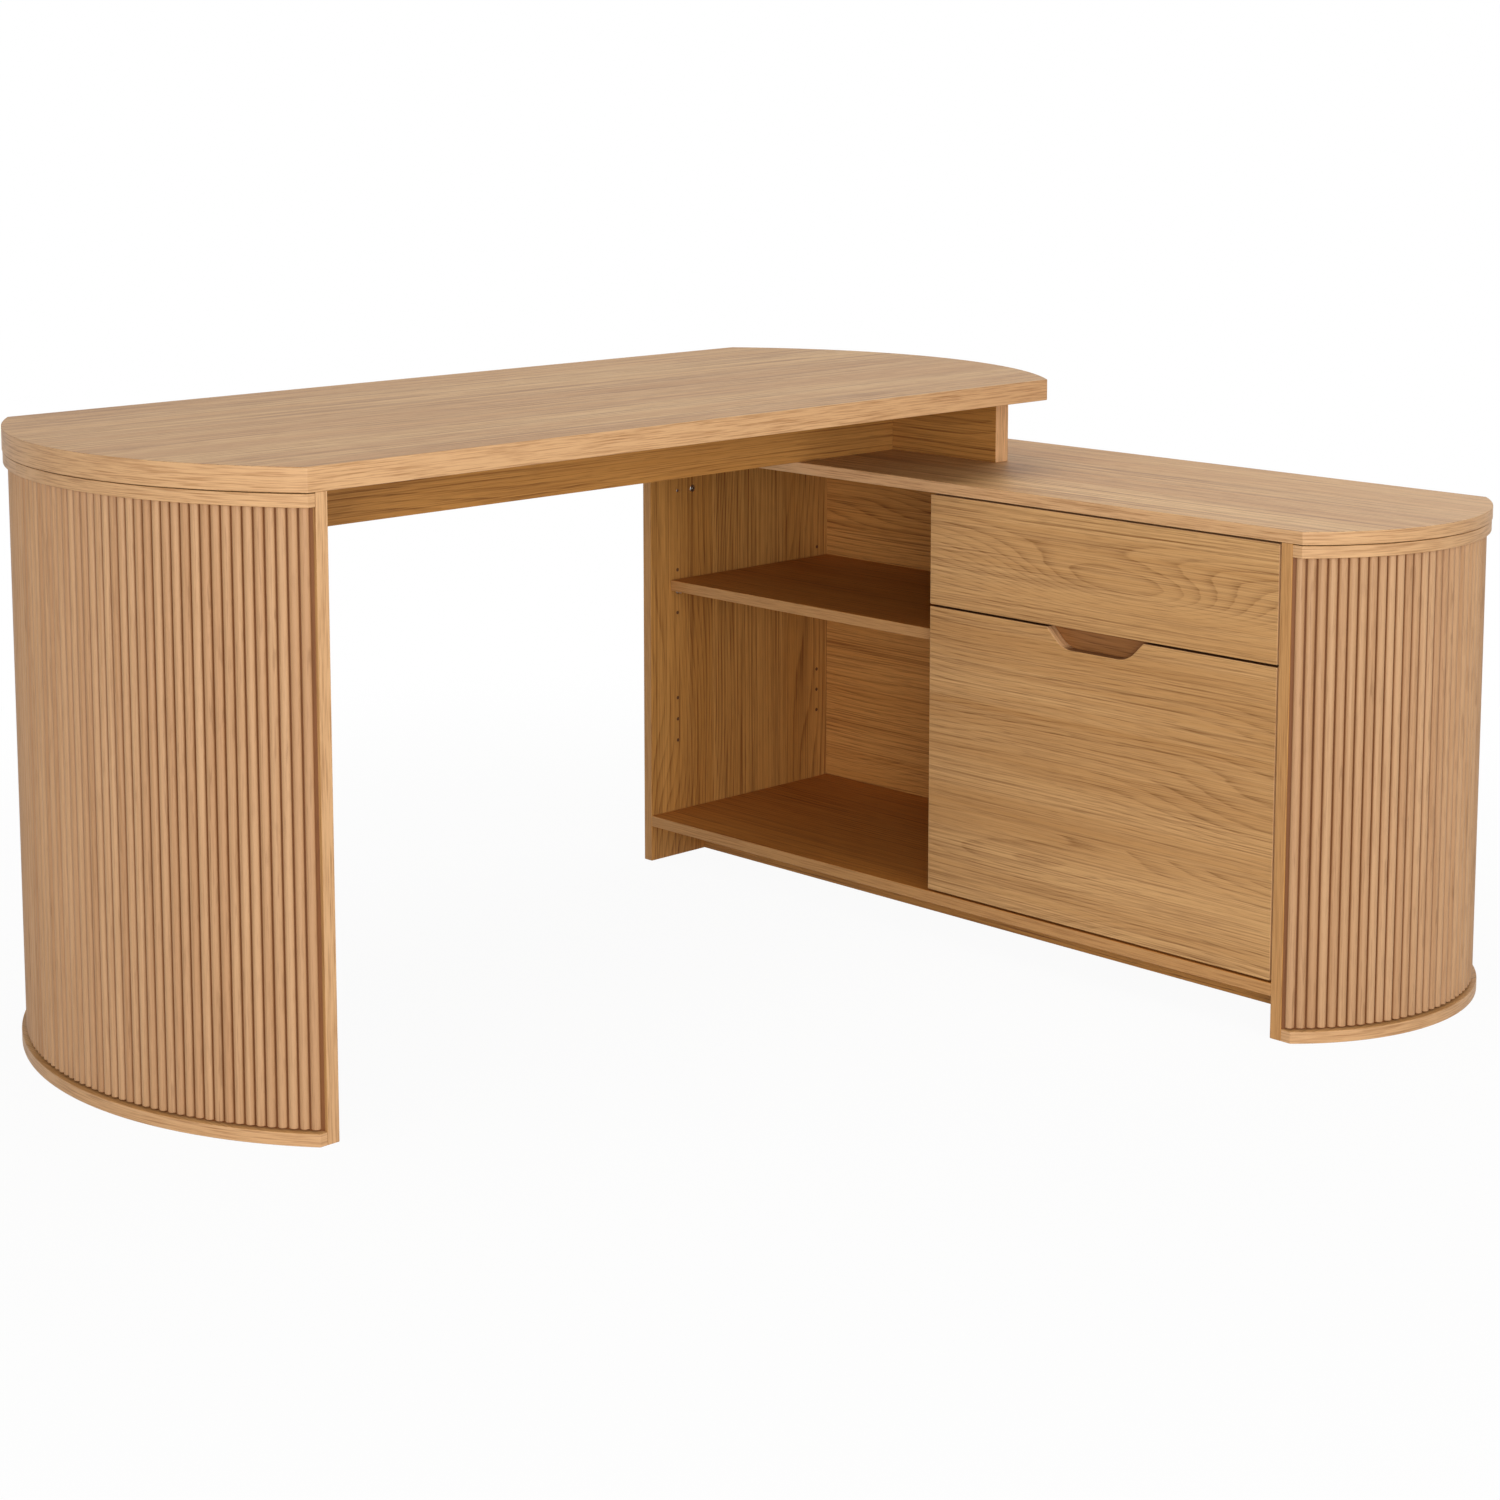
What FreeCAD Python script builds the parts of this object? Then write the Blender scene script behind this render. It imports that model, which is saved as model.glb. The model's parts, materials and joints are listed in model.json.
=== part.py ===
import FreeCAD, Part
import os
import re

import Sketcher

# Corner desk: a writing top on a round-ended leg. Its other end is carried by a low cabinet that runs
# towards the sitter.
# +X runs along the writing top to the cabinet, +Y away from the sitter, +Z up.
# The origin is on the floor, below the middle of the whole desk's box. Sizes are in millimetres.

doc = FreeCAD.newDocument("CornerDesk")
sheet = doc.addObject("Spreadsheet::Sheet", "sizes")

SIZES = {
    # writing top
    "desk_height": 750,
    "desktop_thick": 28,
    "desktop_straight": 1212,
    "desktop_depth": 609,
    "desktop_bulge": 112,
    # boards in general
    "panel_thick": 16,
    "round_board_thick": 15,
    "rib_thick": 15,
    # round-ended leg
    "leg_panel_inset": 10,
    "round_setback": 2,
    "leg_slat_count": 51,
    # slatted skin
    "slat_recess": 5.5,
    "slat_depth": 5,
    "slat_gap": 1.2,
    "slat_end_gap": 2,
    "slat_margin": 3.5,
    "seam_gap": 1,
    "backing_thick": 4,
    "rib_clearance": 0.3,
    # knee panel and riser
    "niche_height": 97,
    "riser_past_vertex": 16,
    "riser_thick": 26,
    "riser_setback": 104,
    # cabinet
    "desktop_overlap": 173,
    "cabinet_depth": 398,
    "cabinet_straight": 1155,
    "cabinet_bulge": 84,
    "cabinet_overrun": 8,
    "pod_panel_inset": 14,
    "pod_slat_count": 34,
    "plinth_height": 52.5,
    "kick_setback": 107,
    "back_recess": 14,
    "bay_width": 549,
    # shelf and its pins
    "shelf_setback": 39,
    "shelf_clearance": 1,
    "pin_radius": 2.5,
    "pin_length": 16,
    "pin_sunk": 8,
    "pin_hole_clearance": 0.1,
    "pin_column_front": 53.5,
    "pin_column_back": 21.5,
    "pin_first_row": 174,
    "pin_row_step": 32,
    # cam fittings and their bolts
    "cam_radius": 5,
    "cam_thick": 12,
    "cam_drop": 61,
    "cam_from_edge": 84,
    "cam_clearance": 0.1,
    "cam_bolt_radius": 3,
    "cam_bolt_sunk": 10,
    "cap_radius": 2.2,
    "cap_thick": 8,
    "cap_step": 30,
    # dowels under the writing top
    "dowel_radius": 4,
    "dowel_sunk": 15,
    "dowel_clearance": 0.1,
    "dowel_from_end": 80,
    # drawer fronts
    "front_gap": 2.4,
    "fronts_apart": 3,
    "front_foot_gap": 3,
    "upper_front_height": 146.4,
    "pull_width": 156,
    "pull_depth": 25.5,
    "pull_flank": 25.5,
    "pull_round": 38,
    # drawer boxes
    "box_board_thick": 12,
    "box_bottom_thick": 6,
    "box_bottom_lift": 8,
    "box_back_room": 17,
    "upper_box_lift": 12,
    "upper_box_headroom": 26.7,
    "lower_box_lift": 14,
    "lower_box_headroom": 0.2,
    "screw_radius": 2,
    "screw_head_radius": 4,
    "screw_head_thick": 2.5,
    "screw_bite": 10,
    "screw_from_side": 60,
    "screw_from_edge": 25,
    "screw_clearance": 0.1,
    # telescopic runners
    "runner_room": 12.7,
    "runner_height": 45,
    "runner_back_room": 16.6,
    "runner_wall": 1.2,
    "runner_clearance": 0.3,
    "runner_lip": 9,
    "runner_set_in": 3,
    "upper_runner_lift": 50,
    "lower_runner_lift": 110,
}
for row, (alias, value) in enumerate(SIZES.items(), start=1):
    sheet.set(f"A{row}", alias)
    sheet.set(f"B{row}", str(value))
    sheet.setAlias(f"B{row}", alias)
doc.recompute()

# Rows of shelf pin holes, counted up from the lowest, and the row that the shelf's pins are in
PIN_ROWS = (0, 1, 2, 6, 7, 8)
SHELF_ROW = PIN_ROWS[-2]

# Places that several boards share, worked out from the sizes
PLACES = {
    "cabinet_reach": "desktop_straight - desktop_overlap + cabinet_depth",
    "left_x": "(desktop_bulge - cabinet_reach) / 2",
    "leg_out_x": "left_x + leg_panel_inset",
    "leg_in_x": "leg_out_x + panel_thick",
    "riser_x": "left_x + desktop_straight + riser_past_vertex",
    "rear_x": "left_x + cabinet_reach",
    "front_x": "rear_x - cabinet_depth",
    "inner_x": "front_x + panel_thick",
    "back_x": "rear_x - back_recess - panel_thick",
    "far_y": "(cabinet_straight + cabinet_bulge) / 2",
    "near_y": "far_y - cabinet_straight",
    "back_y": "far_y - cabinet_overrun",
    "desk_front_y": "back_y - desktop_depth",
    "desk_mid_y": "back_y - desktop_depth / 2",
    "far_in_y": "far_y - panel_thick",
    "bay_y": "far_in_y - bay_width",
    "divider_y": "bay_y - panel_thick",
    "pod_y": "near_y + pod_panel_inset",
    "near_in_y": "pod_y + panel_thick",
    "cabinet_mid_x": "front_x + cabinet_depth / 2",
    "under_z": "desk_height - desktop_thick",
    "cabinet_z": "under_z - niche_height",
    "top_under_z": "cabinet_z - panel_thick",
    "floor_z": "plinth_height + panel_thick",
    "lower_front_z": "floor_z + front_foot_gap",
    "upper_front_top_z": "top_under_z - front_gap",
    "upper_front_z": "upper_front_top_z - upper_front_height",
    "lower_front_top_z": "upper_front_z - fronts_apart",
    "pin_z": f"pin_first_row + {SHELF_ROW} * pin_row_step",
    "shelf_z": "pin_z + pin_radius",
    "cam_z": "top_under_z - cam_drop",
    "box_left_y": "divider_y - runner_room",
    "box_right_y": "near_in_y + runner_room",
    "box_back_x": "back_x - box_back_room",
    "front_mid_y": "(bay_y + near_in_y + front_gap) / 2",
}


def formula(text):
    """Writes a formula of plain names with each name as its cell of the sheet."""
    def swap(match):
        word = match.group(0)
        if word in PLACES:
            return "(" + formula(PLACES[word]) + ")"
        if word in SIZES:
            return "sizes." + word
        return word

    return re.sub(r"[a-z_]+", swap, str(text))


def bind(item, path, text):
    item.setExpression(path, formula(text))


def place(item, x, y, z, rotation=None):
    item.Placement = FreeCAD.Placement(FreeCAD.Vector(), rotation or FreeCAD.Rotation())
    for axis, text in zip("xyz", (x, y, z)):
        bind(item, f"Placement.Base.{axis}", text)


def block(name, x0, x1, y0, y1, z0, z1):
    """A board between two planes on each axis."""
    item = doc.addObject("Part::Box", name)
    bind(item, "Length", f"({x1}) - ({x0})")
    bind(item, "Width", f"({y1}) - ({y0})")
    bind(item, "Height", f"({z1}) - ({z0})")
    place(item, x0, y0, z0)
    return item


TURNS = {
    "+X": FreeCAD.Rotation(FreeCAD.Vector(0, 1, 0), 90),
    "-X": FreeCAD.Rotation(FreeCAD.Vector(0, 1, 0), -90),
    "+Y": FreeCAD.Rotation(FreeCAD.Vector(1, 0, 0), -90),
    "-Y": FreeCAD.Rotation(FreeCAD.Vector(1, 0, 0), 90),
    "+Z": FreeCAD.Rotation(),
}


def rod(name, heading, x, y, z, radius, length):
    """A round bar from a point, along one axis."""
    item = doc.addObject("Part::Cylinder", name)
    bind(item, "Radius", radius)
    bind(item, "Height", length)
    place(item, x, y, z, TURNS[heading])
    return item


def fuse(name, items):
    item = doc.addObject("Part::MultiFuse", name)
    item.Shapes = items
    return item


def cut(name, base, tools):
    """A piece with every tool's shape taken out of it."""
    item = doc.addObject("Part::Cut", name)
    item.Base = base
    item.Tool = fuse(name + "_holes", tools) if len(tools) > 1 else tools[0]
    return item


def group(name, items):
    """Like pieces kept as separate solids in one node."""
    item = doc.addObject("Part::Compound", name)
    item.Links = items
    return item


nodes = {}


def keep(name, item):
    item.Label = name
    nodes[name] = item
    return item


def plane_of(body, role):
    return next(item for item in body.Origin.OriginFeatures if item.Role == role)


def sketch_on(body, name, role="XY_Plane"):
    sketch = body.newObject("Sketcher::SketchObject", name)
    sketch.AttachmentSupport = [(plane_of(body, role), "")]
    sketch.MapMode = "FlatFace"
    return sketch


def value_of(text):
    """The present value of a formula, for a sketch's first guess."""
    probe = re.sub(r"sizes\.([a-z_]+)", lambda found: repr(float(SIZES[found.group(1)])), formula(text))
    sheet.set("D1", "=" + probe)
    sheet.recompute()
    return float(sheet.get("D1"))


def outline(sketch, corners, bends):
    """A closed outline through named corners.

    bends gives the radius formula and the hollow side of each round stretch.
    """
    places = [FreeCAD.Vector(value_of(x), value_of(y), 0) for x, y in corners]
    count = len(corners)
    ends = []
    for index in range(count):
        start = places[index]
        end = places[(index + 1) % count]
        if index in bends:
            radius_text, turn = bends[index]
            radius = value_of(radius_text)
            chord = end - start
            half = chord.Length / 2
            normal = FreeCAD.Vector(-chord.y, chord.x, 0).normalize() * turn
            centre = (start + end) / 2 + normal * (radius ** 2 - half ** 2) ** 0.5
            crown = centre - normal * radius
            arc = Part.Arc(start, crown, end)
            geo = sketch.addGeometry(arc)
            first = sketch.getPoint(geo, 1)
            swapped = first.distanceToPoint(start) > first.distanceToPoint(end)
            ends.append((geo, 2, 1) if swapped else (geo, 1, 2))
            spot = sketch.addConstraint(Sketcher.Constraint("Radius", geo, radius))
            bind(sketch, f"Constraints[{spot}]", radius_text)
        else:
            geo = sketch.addGeometry(Part.LineSegment(start, end))
            ends.append((geo, 1, 2))
    for index in range(count):
        geo, begin, _ = ends[index]
        before, _, finish = ends[index - 1]
        sketch.addConstraint(Sketcher.Constraint("Coincident", before, finish, geo, begin))
        for kind, text, spot_value in (
            ("DistanceX", corners[index][0], places[index].x),
            ("DistanceY", corners[index][1], places[index].y),
        ):
            spot = sketch.addConstraint(Sketcher.Constraint(kind, -1, 1, geo, begin, spot_value))
            bind(sketch, f"Constraints[{spot}]", text)


def slab(name, corners, bends, thick, x, y, z, rotation=None):
    """A board with a drawn outline, lying flat."""
    body = doc.addObject("PartDesign::Body", name)
    sketch = sketch_on(body, name + "_outline")
    outline(sketch, corners, bends)
    pad = body.newObject("PartDesign::Pad", name + "_thickness")
    pad.Profile = sketch
    bind(pad, "Length", thick)
    place(body, x, y, z, rotation)
    return body


def sagitta_radius(half, bulge):
    return f"((({half}) ^ 2 + ({bulge}) ^ 2) / (2 * ({bulge})))"


# Dowels locate the writing top on the leg panel, the knee panel and the riser
riser_mid_x = "riser_x + riser_thick / 2"
DOWELS = {
    "leg_panel": [
        ("leg_out_x + panel_thick / 2", "desk_front_y + dowel_from_end"),
        ("leg_out_x + panel_thick / 2", "back_y - dowel_from_end"),
    ],
    "knee_panel": [
        ("leg_in_x + dowel_from_end", "desk_mid_y"),
        ("(leg_in_x + riser_x) / 2", "desk_mid_y"),
        ("riser_x - dowel_from_end", "desk_mid_y"),
    ],
    "riser": [
        (riser_mid_x, "desk_front_y + riser_setback + dowel_from_end"),
        (riser_mid_x, "back_y - riser_setback - dowel_from_end"),
    ],
}


def dowel_rods(carrier, tag, margin):
    """A rod at each dowel of one upright, half in it and half in the writing top."""
    radius = f"dowel_radius + {margin}"
    foot_z = "under_z - dowel_sunk"
    return [
        rod(f"{carrier}_{tag}_{spot}", "+Z", x, y, foot_z, radius, "2 * dowel_sunk")
        for spot, (x, y) in enumerate(DOWELS[carrier], start=1)
    ]


def dowelled(name, board):
    """An upright with its dowel holes."""
    return keep(name, cut(name, board, dowel_rods(name, "hole", "dowel_clearance")))


# Writing top: straight front and back edges, both ends bulging as flat arcs
top_round = sagitta_radius("desktop_depth / 2", "desktop_bulge")
desktop_board = slab(
    "desktop_board",
    [
        ("0", "-desktop_depth / 2"),
        ("desktop_straight", "-desktop_depth / 2"),
        ("desktop_straight", "desktop_depth / 2"),
        ("0", "desktop_depth / 2"),
    ],
    {1: (top_round, 1), 3: (top_round, 1)},
    "desktop_thick",
    "left_x",
    "desk_mid_y",
    "under_z",
)
top_dowel_holes = [
    hole for carrier in DOWELS for hole in dowel_rods(carrier, "top_hole", "dowel_clearance")
]
keep("desktop", cut("desktop", desktop_board, top_dowel_holes))
dowels = [dowel for carrier in DOWELS for dowel in dowel_rods(carrier, "dowel", "0")]
keep("top_dowels", group("top_dowels", dowels))


def keep_slab(name, *drawn):
    return keep(name, slab(name, *drawn))


def round_end(name, half, inset, bulge, count, height, x, y, rotation):
    """Bulging slatted end on the outer face of an upright board: two boards, a rib, a bent backing and slats.

    It is drawn bulging towards -X from the board's face at x = 0.
    """
    out = f"({bulge} - round_setback)"
    radius = sagitta_radius(half, out)
    centre = f"({radius} - {inset} - {out})"
    skin = f"({radius} - slat_recess - slat_depth)"
    hollow = f"({skin} - backing_thick)"
    rib = f"({hollow} - rib_clearance)"

    def reach(arc):
        return f"sqrt({arc} ^ 2 - {centre} ^ 2)"

    board = [("0", half), (f"-{inset}", half), (f"-{inset}", f"-({half})"), ("0", f"-({half})")]
    keep_slab(name + "_bottom_board", board, {1: (radius, 1)}, "round_board_thick", x, y, "0", rotation)
    top_z = f"{height} - round_board_thick"
    keep_slab(name + "_top_board", board, {1: (radius, 1)}, "round_board_thick", x, y, top_z, rotation)
    rib_board = [("0", reach(rib)), ("0", f"-{reach(rib)}")]
    rib_z = f"({height} - rib_thick) / 2"
    keep_slab(name + "_middle_rib", rib_board, {0: (rib, 1)}, "rib_thick", x, y, rib_z, rotation)
    ring = [
        ("0", reach(skin)),
        ("0", f"-{reach(skin)}"),
        ("0", f"-{reach(hollow)}"),
        ("0", reach(hollow)),
    ]
    tall = f"{height} - 2 * round_board_thick"
    ring_bends = {0: (skin, 1), 2: (hollow, -1)}
    keep_slab(name + "_backing", ring, ring_bends, tall, x, y, "round_board_thick", rotation)

    # One slat is drawn on the +X side of the arc's centre and copied round it.
    sweep = f"(2 * acos({centre} / {skin}) - 2 * slat_margin / {skin} * 1 rad)"
    step = f"({sweep} / {count})"
    half_slat = f"({skin} * {step} / 1 rad / 2 - slat_gap / 2)"
    chord = f"sqrt({skin} ^ 2 - {half_slat} ^ 2)"
    crown = f"({skin} + slat_depth - {chord})"
    body = doc.addObject("PartDesign::Body", name + "_slats")
    body.AllowCompound = True
    sketch = sketch_on(body, name + "_slat_profile")
    slat = [(chord, f"-{half_slat}"), (chord, half_slat)]
    outline(sketch, slat, {0: (sagitta_radius(half_slat, crown), 1), 1: (skin, -1)})
    pad = body.newObject("PartDesign::Pad", name + "_slat")
    pad.Profile = sketch
    bind(pad, "Length", f"{tall} - slat_end_gap")
    ring_copy = body.newObject("PartDesign::PolarPattern", name + "_slat_row")
    ring_copy.Originals = [pad]
    ring_copy.Axis = (plane_of(body, "Z_Axis"), [""])
    bind(ring_copy, "Angle", f"{step} * ({count} - 1)")
    bind(ring_copy, "Occurrences", count)
    body.Tip = ring_copy
    heading = rotation.multVec(FreeCAD.Vector(1, 0, 0))
    swing = FreeCAD.Rotation(FreeCAD.Vector(0, 0, 1), 1)
    centre_x = f"({x}) + ({centre}) * {round(heading.x)}"
    centre_y = f"({y}) + ({centre}) * {round(heading.y)}"
    place(body, centre_x, centre_y, "round_board_thick + slat_end_gap", swing)
    facing = round(rotation.getYawPitchRoll()[0]) + 180
    bind(body, "Placement.Rotation.Angle", f"{facing} deg - ({sweep} - {step}) / 2")
    keep(name + "_slats", body)


# Round-ended leg at the left
dowelled("leg_panel", block("leg_board", "leg_out_x", "leg_in_x", "desk_front_y", "back_y", "0", "under_z"))
round_end(
    "leg", "desktop_depth / 2", "leg_panel_inset", "desktop_bulge", "leg_slat_count", "under_z - seam_gap",
    "leg_out_x", "desk_mid_y", FreeCAD.Rotation(),
)

# Knee panel hung below the writing top, and the riser that carries the top on the cabinet
knee_y = "desk_mid_y - panel_thick / 2"
dowelled(
    "knee_panel",
    block("knee_board", "leg_in_x", "riser_x", knee_y, f"{knee_y} + panel_thick", "cabinet_z", "under_z"),
)
riser_out_x = "riser_x + riser_thick"
riser_front_y = "desk_front_y + riser_setback"
riser_back_y = "back_y - riser_setback"
dowelled(
    "riser",
    block("riser_board", "riser_x", riser_out_x, riser_front_y, riser_back_y, "cabinet_z", "under_z"),
)

# Cabinet top with its round near end
cabinet_half = "cabinet_depth / 2"
cabinet_round = sagitta_radius(cabinet_half, "cabinet_bulge")
cabinet_top_board = slab(
    "cabinet_top_board",
    [
        (f"-{cabinet_half}", "0"),
        (cabinet_half, "0"),
        (cabinet_half, "cabinet_straight"),
        (f"-{cabinet_half}", "cabinet_straight"),
    ],
    {0: (cabinet_round, 1)},
    "panel_thick",
    "cabinet_mid_x",
    "near_y",
    "top_under_z",
)

# Cam fittings hold the cabinet top: a cam in each upright, a small cap beside it and a bolt up into the top
cam_places = []
for upright, face_y, inward in (
    ("far", "far_in_y", "+Y"),
    ("divider", "divider_y", "+Y"),
    ("near", "near_in_y", "-Y"),
):
    for end, cam_x, cap_x in (
        ("front", "front_x + cam_from_edge", "front_x + cam_from_edge - cap_step"),
        ("back", "back_x - cam_from_edge", "back_x - cam_from_edge + cap_step"),
    ):
        if (upright, end) != ("far", "back"):
            cam_places.append((upright, end, face_y, inward, cam_x, cap_x))


def cam_bore(upright, end, face_y, inward, cam_x, cap_x):
    """The pocket, bolt bore and cap hole that one fitting needs in its upright."""
    name = f"{upright}_{end}"
    side = 1 if inward == "+Y" else -1
    middle_y = f"({face_y}) + {side} * cam_thick / 2"
    pocket_radius = "cam_radius + cam_clearance"
    bore_radius = "cam_bolt_radius + cam_clearance"
    hole_radius = "cap_radius + cam_clearance"
    pocket = rod(name + "_cam_pocket", inward, cam_x, face_y, "cam_z", pocket_radius, "cam_thick")
    bore = rod(name + "_bolt_bore", "+Z", cam_x, middle_y, "cam_z", bore_radius, "cam_drop")
    hole = rod(name + "_cap_hole", inward, cap_x, face_y, "cam_z", hole_radius, "cap_thick")
    return [pocket, bore, hole]


def cam_pieces(upright, end, face_y, inward, cam_x, cap_x):
    """The cam, the cap and the bolt of one fitting, and the bolt's hole in the cabinet top."""
    name = f"{upright}_{end}"
    side = 1 if inward == "+Y" else -1
    middle_y = f"({face_y}) + {side} * cam_thick / 2"
    bolt_z = "cam_z + cam_radius"
    cam = rod(name + "_cam", inward, cam_x, face_y, "cam_z", "cam_radius", "cam_thick")
    cap = rod(name + "_cap", inward, cap_x, face_y, "cam_z", "cap_radius", "cap_thick")
    length = "cam_drop - cam_radius + cam_bolt_sunk"
    bolt = rod(name + "_bolt", "+Z", cam_x, middle_y, bolt_z, "cam_bolt_radius", length)
    hole_radius = "cam_bolt_radius + cam_clearance"
    hole = rod(name + "_bolt_hole", "+Z", cam_x, middle_y, "top_under_z", hole_radius, "cam_bolt_sunk")
    return cam, cap, bolt, hole


bores = {}
cams = []
caps = []
bolts = []
top_holes = []
for spot in cam_places:
    bores.setdefault(spot[0], []).extend(cam_bore(*spot))
    cam, cap, bolt, hole = cam_pieces(*spot)
    cams.append(cam)
    caps.append(cap)
    bolts.append(bolt)
    top_holes.append(hole)
keep("cabinet_top", cut("cabinet_top", cabinet_top_board, top_holes))
keep("cam_fittings", group("cam_fittings", cams))
keep("cam_caps", group("cam_caps", caps))
keep("cam_bolts", group("cam_bolts", bolts))


def pin_spots():
    """Each shelf pin hole's column and row."""
    for column, pin_x in (("front", "front_x + pin_column_front"), ("back", "back_x - pin_column_back")):
        for line in PIN_ROWS:
            yield column, line, pin_x, f"pin_first_row + {line} * pin_row_step"


def pin_bores(name, face_y, inward):
    radius = "pin_radius + pin_hole_clearance"
    return [
        rod(f"{name}_hole_{column}_{line}", inward, pin_x, face_y, pin_z, radius, "pin_sunk")
        for column, line, pin_x, pin_z in pin_spots()
    ]


# Cabinet uprights, floor, back and kick rail
far_board = block("far_board", "front_x", "rear_x", "far_in_y", "far_y", "0", "top_under_z")
far_bores = bores["far"] + pin_bores("far", "far_in_y", "+Y")
keep("cabinet_far_panel", cut("cabinet_far_panel", far_board, far_bores))
near_board = block("near_board", "front_x", "rear_x", "pod_y", "near_in_y", "0", "top_under_z")
keep("cabinet_near_panel", cut("cabinet_near_panel", near_board, bores["near"]))
divider_x = "inner_x + front_gap"
divider_board = block("divider_board", divider_x, "back_x", "divider_y", "bay_y", "floor_z", "top_under_z")
divider_bores = bores["divider"] + pin_bores("divider", "bay_y", "-Y")
keep("cabinet_divider", cut("cabinet_divider", divider_board, divider_bores))
back_out_x = "back_x + panel_thick"
keep(
    "cabinet_floor",
    block("cabinet_floor", "front_x", back_out_x, "near_in_y", "far_in_y", "plinth_height", "floor_z"),
)
keep(
    "cabinet_back",
    block("cabinet_back", "back_x", back_out_x, "near_in_y", "far_in_y", "floor_z", "top_under_z"),
)
kick_x = "front_x + kick_setback"
keep(
    "kick_rail",
    block("kick_rail", kick_x, f"{kick_x} + panel_thick", "near_in_y", "far_in_y", "0", "plinth_height"),
)

# Shelf on four pins in the open bay
keep(
    "shelf",
    block(
        "shelf", "front_x + shelf_setback", "back_x - shelf_clearance", "bay_y + shelf_clearance",
        "far_in_y - shelf_clearance", "shelf_z", "shelf_z + panel_thick",
    ),
)
pins = []
for column, line, pin_x, row_z in pin_spots():
    if line != SHELF_ROW:
        continue
    for upright, heading, end_y in (
        ("far", "-Y", "far_in_y + pin_sunk"),
        ("divider", "+Y", "bay_y - pin_sunk"),
    ):
        pins.append(rod(f"{upright}_pin_{column}", heading, pin_x, end_y, row_z, "pin_radius", "pin_length"))
keep("shelf_pins", group("shelf_pins", pins))

# Round near end of the cabinet
round_end(
    "pod", "cabinet_depth / 2", "pod_panel_inset", "cabinet_bulge", "pod_slat_count",
    "top_under_z - seam_gap", "cabinet_mid_x", "pod_y", FreeCAD.Rotation(FreeCAD.Vector(0, 0, 1), 90),
)


def pull_notch(top_z):
    """The finger pull sunk into the lower front's top edge: sloping flanks with round feet."""
    body = doc.addObject("PartDesign::Body", "pull_notch")
    sketch = sketch_on(body, "pull_outline", "YZ_Plane")
    half = "pull_width / 2"
    foot = "(pull_width / 2 - pull_flank)"
    fall = "atan(pull_depth / pull_flank)"
    easing = f"(pull_round * tan({fall} / 2))"
    rise_y = f"({foot} + {easing} * cos({fall}))"
    rise_z = f"({easing} * sin({fall}) - pull_depth)"
    flat_y = f"({foot} - {easing})"
    outline(
        sketch,
        [
            (half, "0"),
            (f"-({half})", "0"),
            (f"-{rise_y}", rise_z),
            (f"-{flat_y}", "-pull_depth"),
            (flat_y, "-pull_depth"),
            (rise_y, rise_z),
        ],
        {2: ("pull_round", 1), 4: ("pull_round", 1)},
    )
    pad = body.newObject("PartDesign::Pad", "pull_through")
    pad.Profile = sketch
    bind(pad, "Length", "panel_thick")
    place(body, "front_x", "front_mid_y", top_z)
    return body


def drawer(name, front_z, front_top_z, box_z, box_top, runner_z, notched):
    """A drawer: its front, a box of five boards, the screws between them and two telescopic runners."""
    left_in = "box_left_y - box_board_thick"
    right_in = "box_right_y + box_board_thick"
    box_front_x = "inner_x + box_board_thick"
    box_rear_x = "box_back_x - box_board_thick"
    front_y = "near_in_y + front_gap"
    front = block(name + "_front_board", "front_x", "inner_x", front_y, "bay_y", front_z, front_top_z)
    box_front = block(name + "_box_front_board", "inner_x", box_front_x, right_in, left_in, box_z, box_top)

    screws = []
    front_holes = [pull_notch(front_top_z)] if notched else []
    box_holes = []
    low_z = f"{box_z} + screw_from_edge"
    high_z = f"{box_top} - 2 * screw_from_edge"
    for side, y in (("left", f"{left_in} - screw_from_side"), ("right", f"{right_in} + screw_from_side")):
        for level, z in (("low", low_z), ("high", high_z)):
            tag = f"{name}_screw_{side}_{level}"
            room = "screw_radius + screw_clearance"
            length = "box_board_thick + screw_bite"
            shank = rod(tag + "_shank", "-X", box_front_x, y, z, "screw_radius", length)
            head = rod(tag + "_head", "+X", box_front_x, y, z, "screw_head_radius", "screw_head_thick")
            screws.append(fuse(tag, [shank, head]))
            front_holes.append(rod(tag + "_pilot", "-X", "inner_x", y, z, room, "screw_bite"))
            box_holes.append(rod(tag + "_hole", "-X", box_front_x, y, z, room, "box_board_thick"))
    keep(name + "_front", cut(name + "_front", front, front_holes))
    keep(name + "_box_front", cut(name + "_box_front", box_front, box_holes))
    keep(name + "_front_screws", group(name + "_front_screws", screws))
    for side, y0, y1 in (("left", left_in, "box_left_y"), ("right", "box_right_y", right_in)):
        board = f"{name}_{side}_side"
        keep(board, block(board, "inner_x", "box_back_x", y0, y1, box_z, box_top))
    rear = name + "_box_back"
    keep(rear, block(rear, box_rear_x, "box_back_x", right_in, left_in, box_z, box_top))
    base = name + "_bottom"
    base_z = f"{box_z} + box_bottom_lift"
    keep(base, block(base, box_front_x, box_rear_x, right_in, left_in, base_z, f"{base_z} + box_bottom_thick"))
    runners(name, runner_z)


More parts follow.
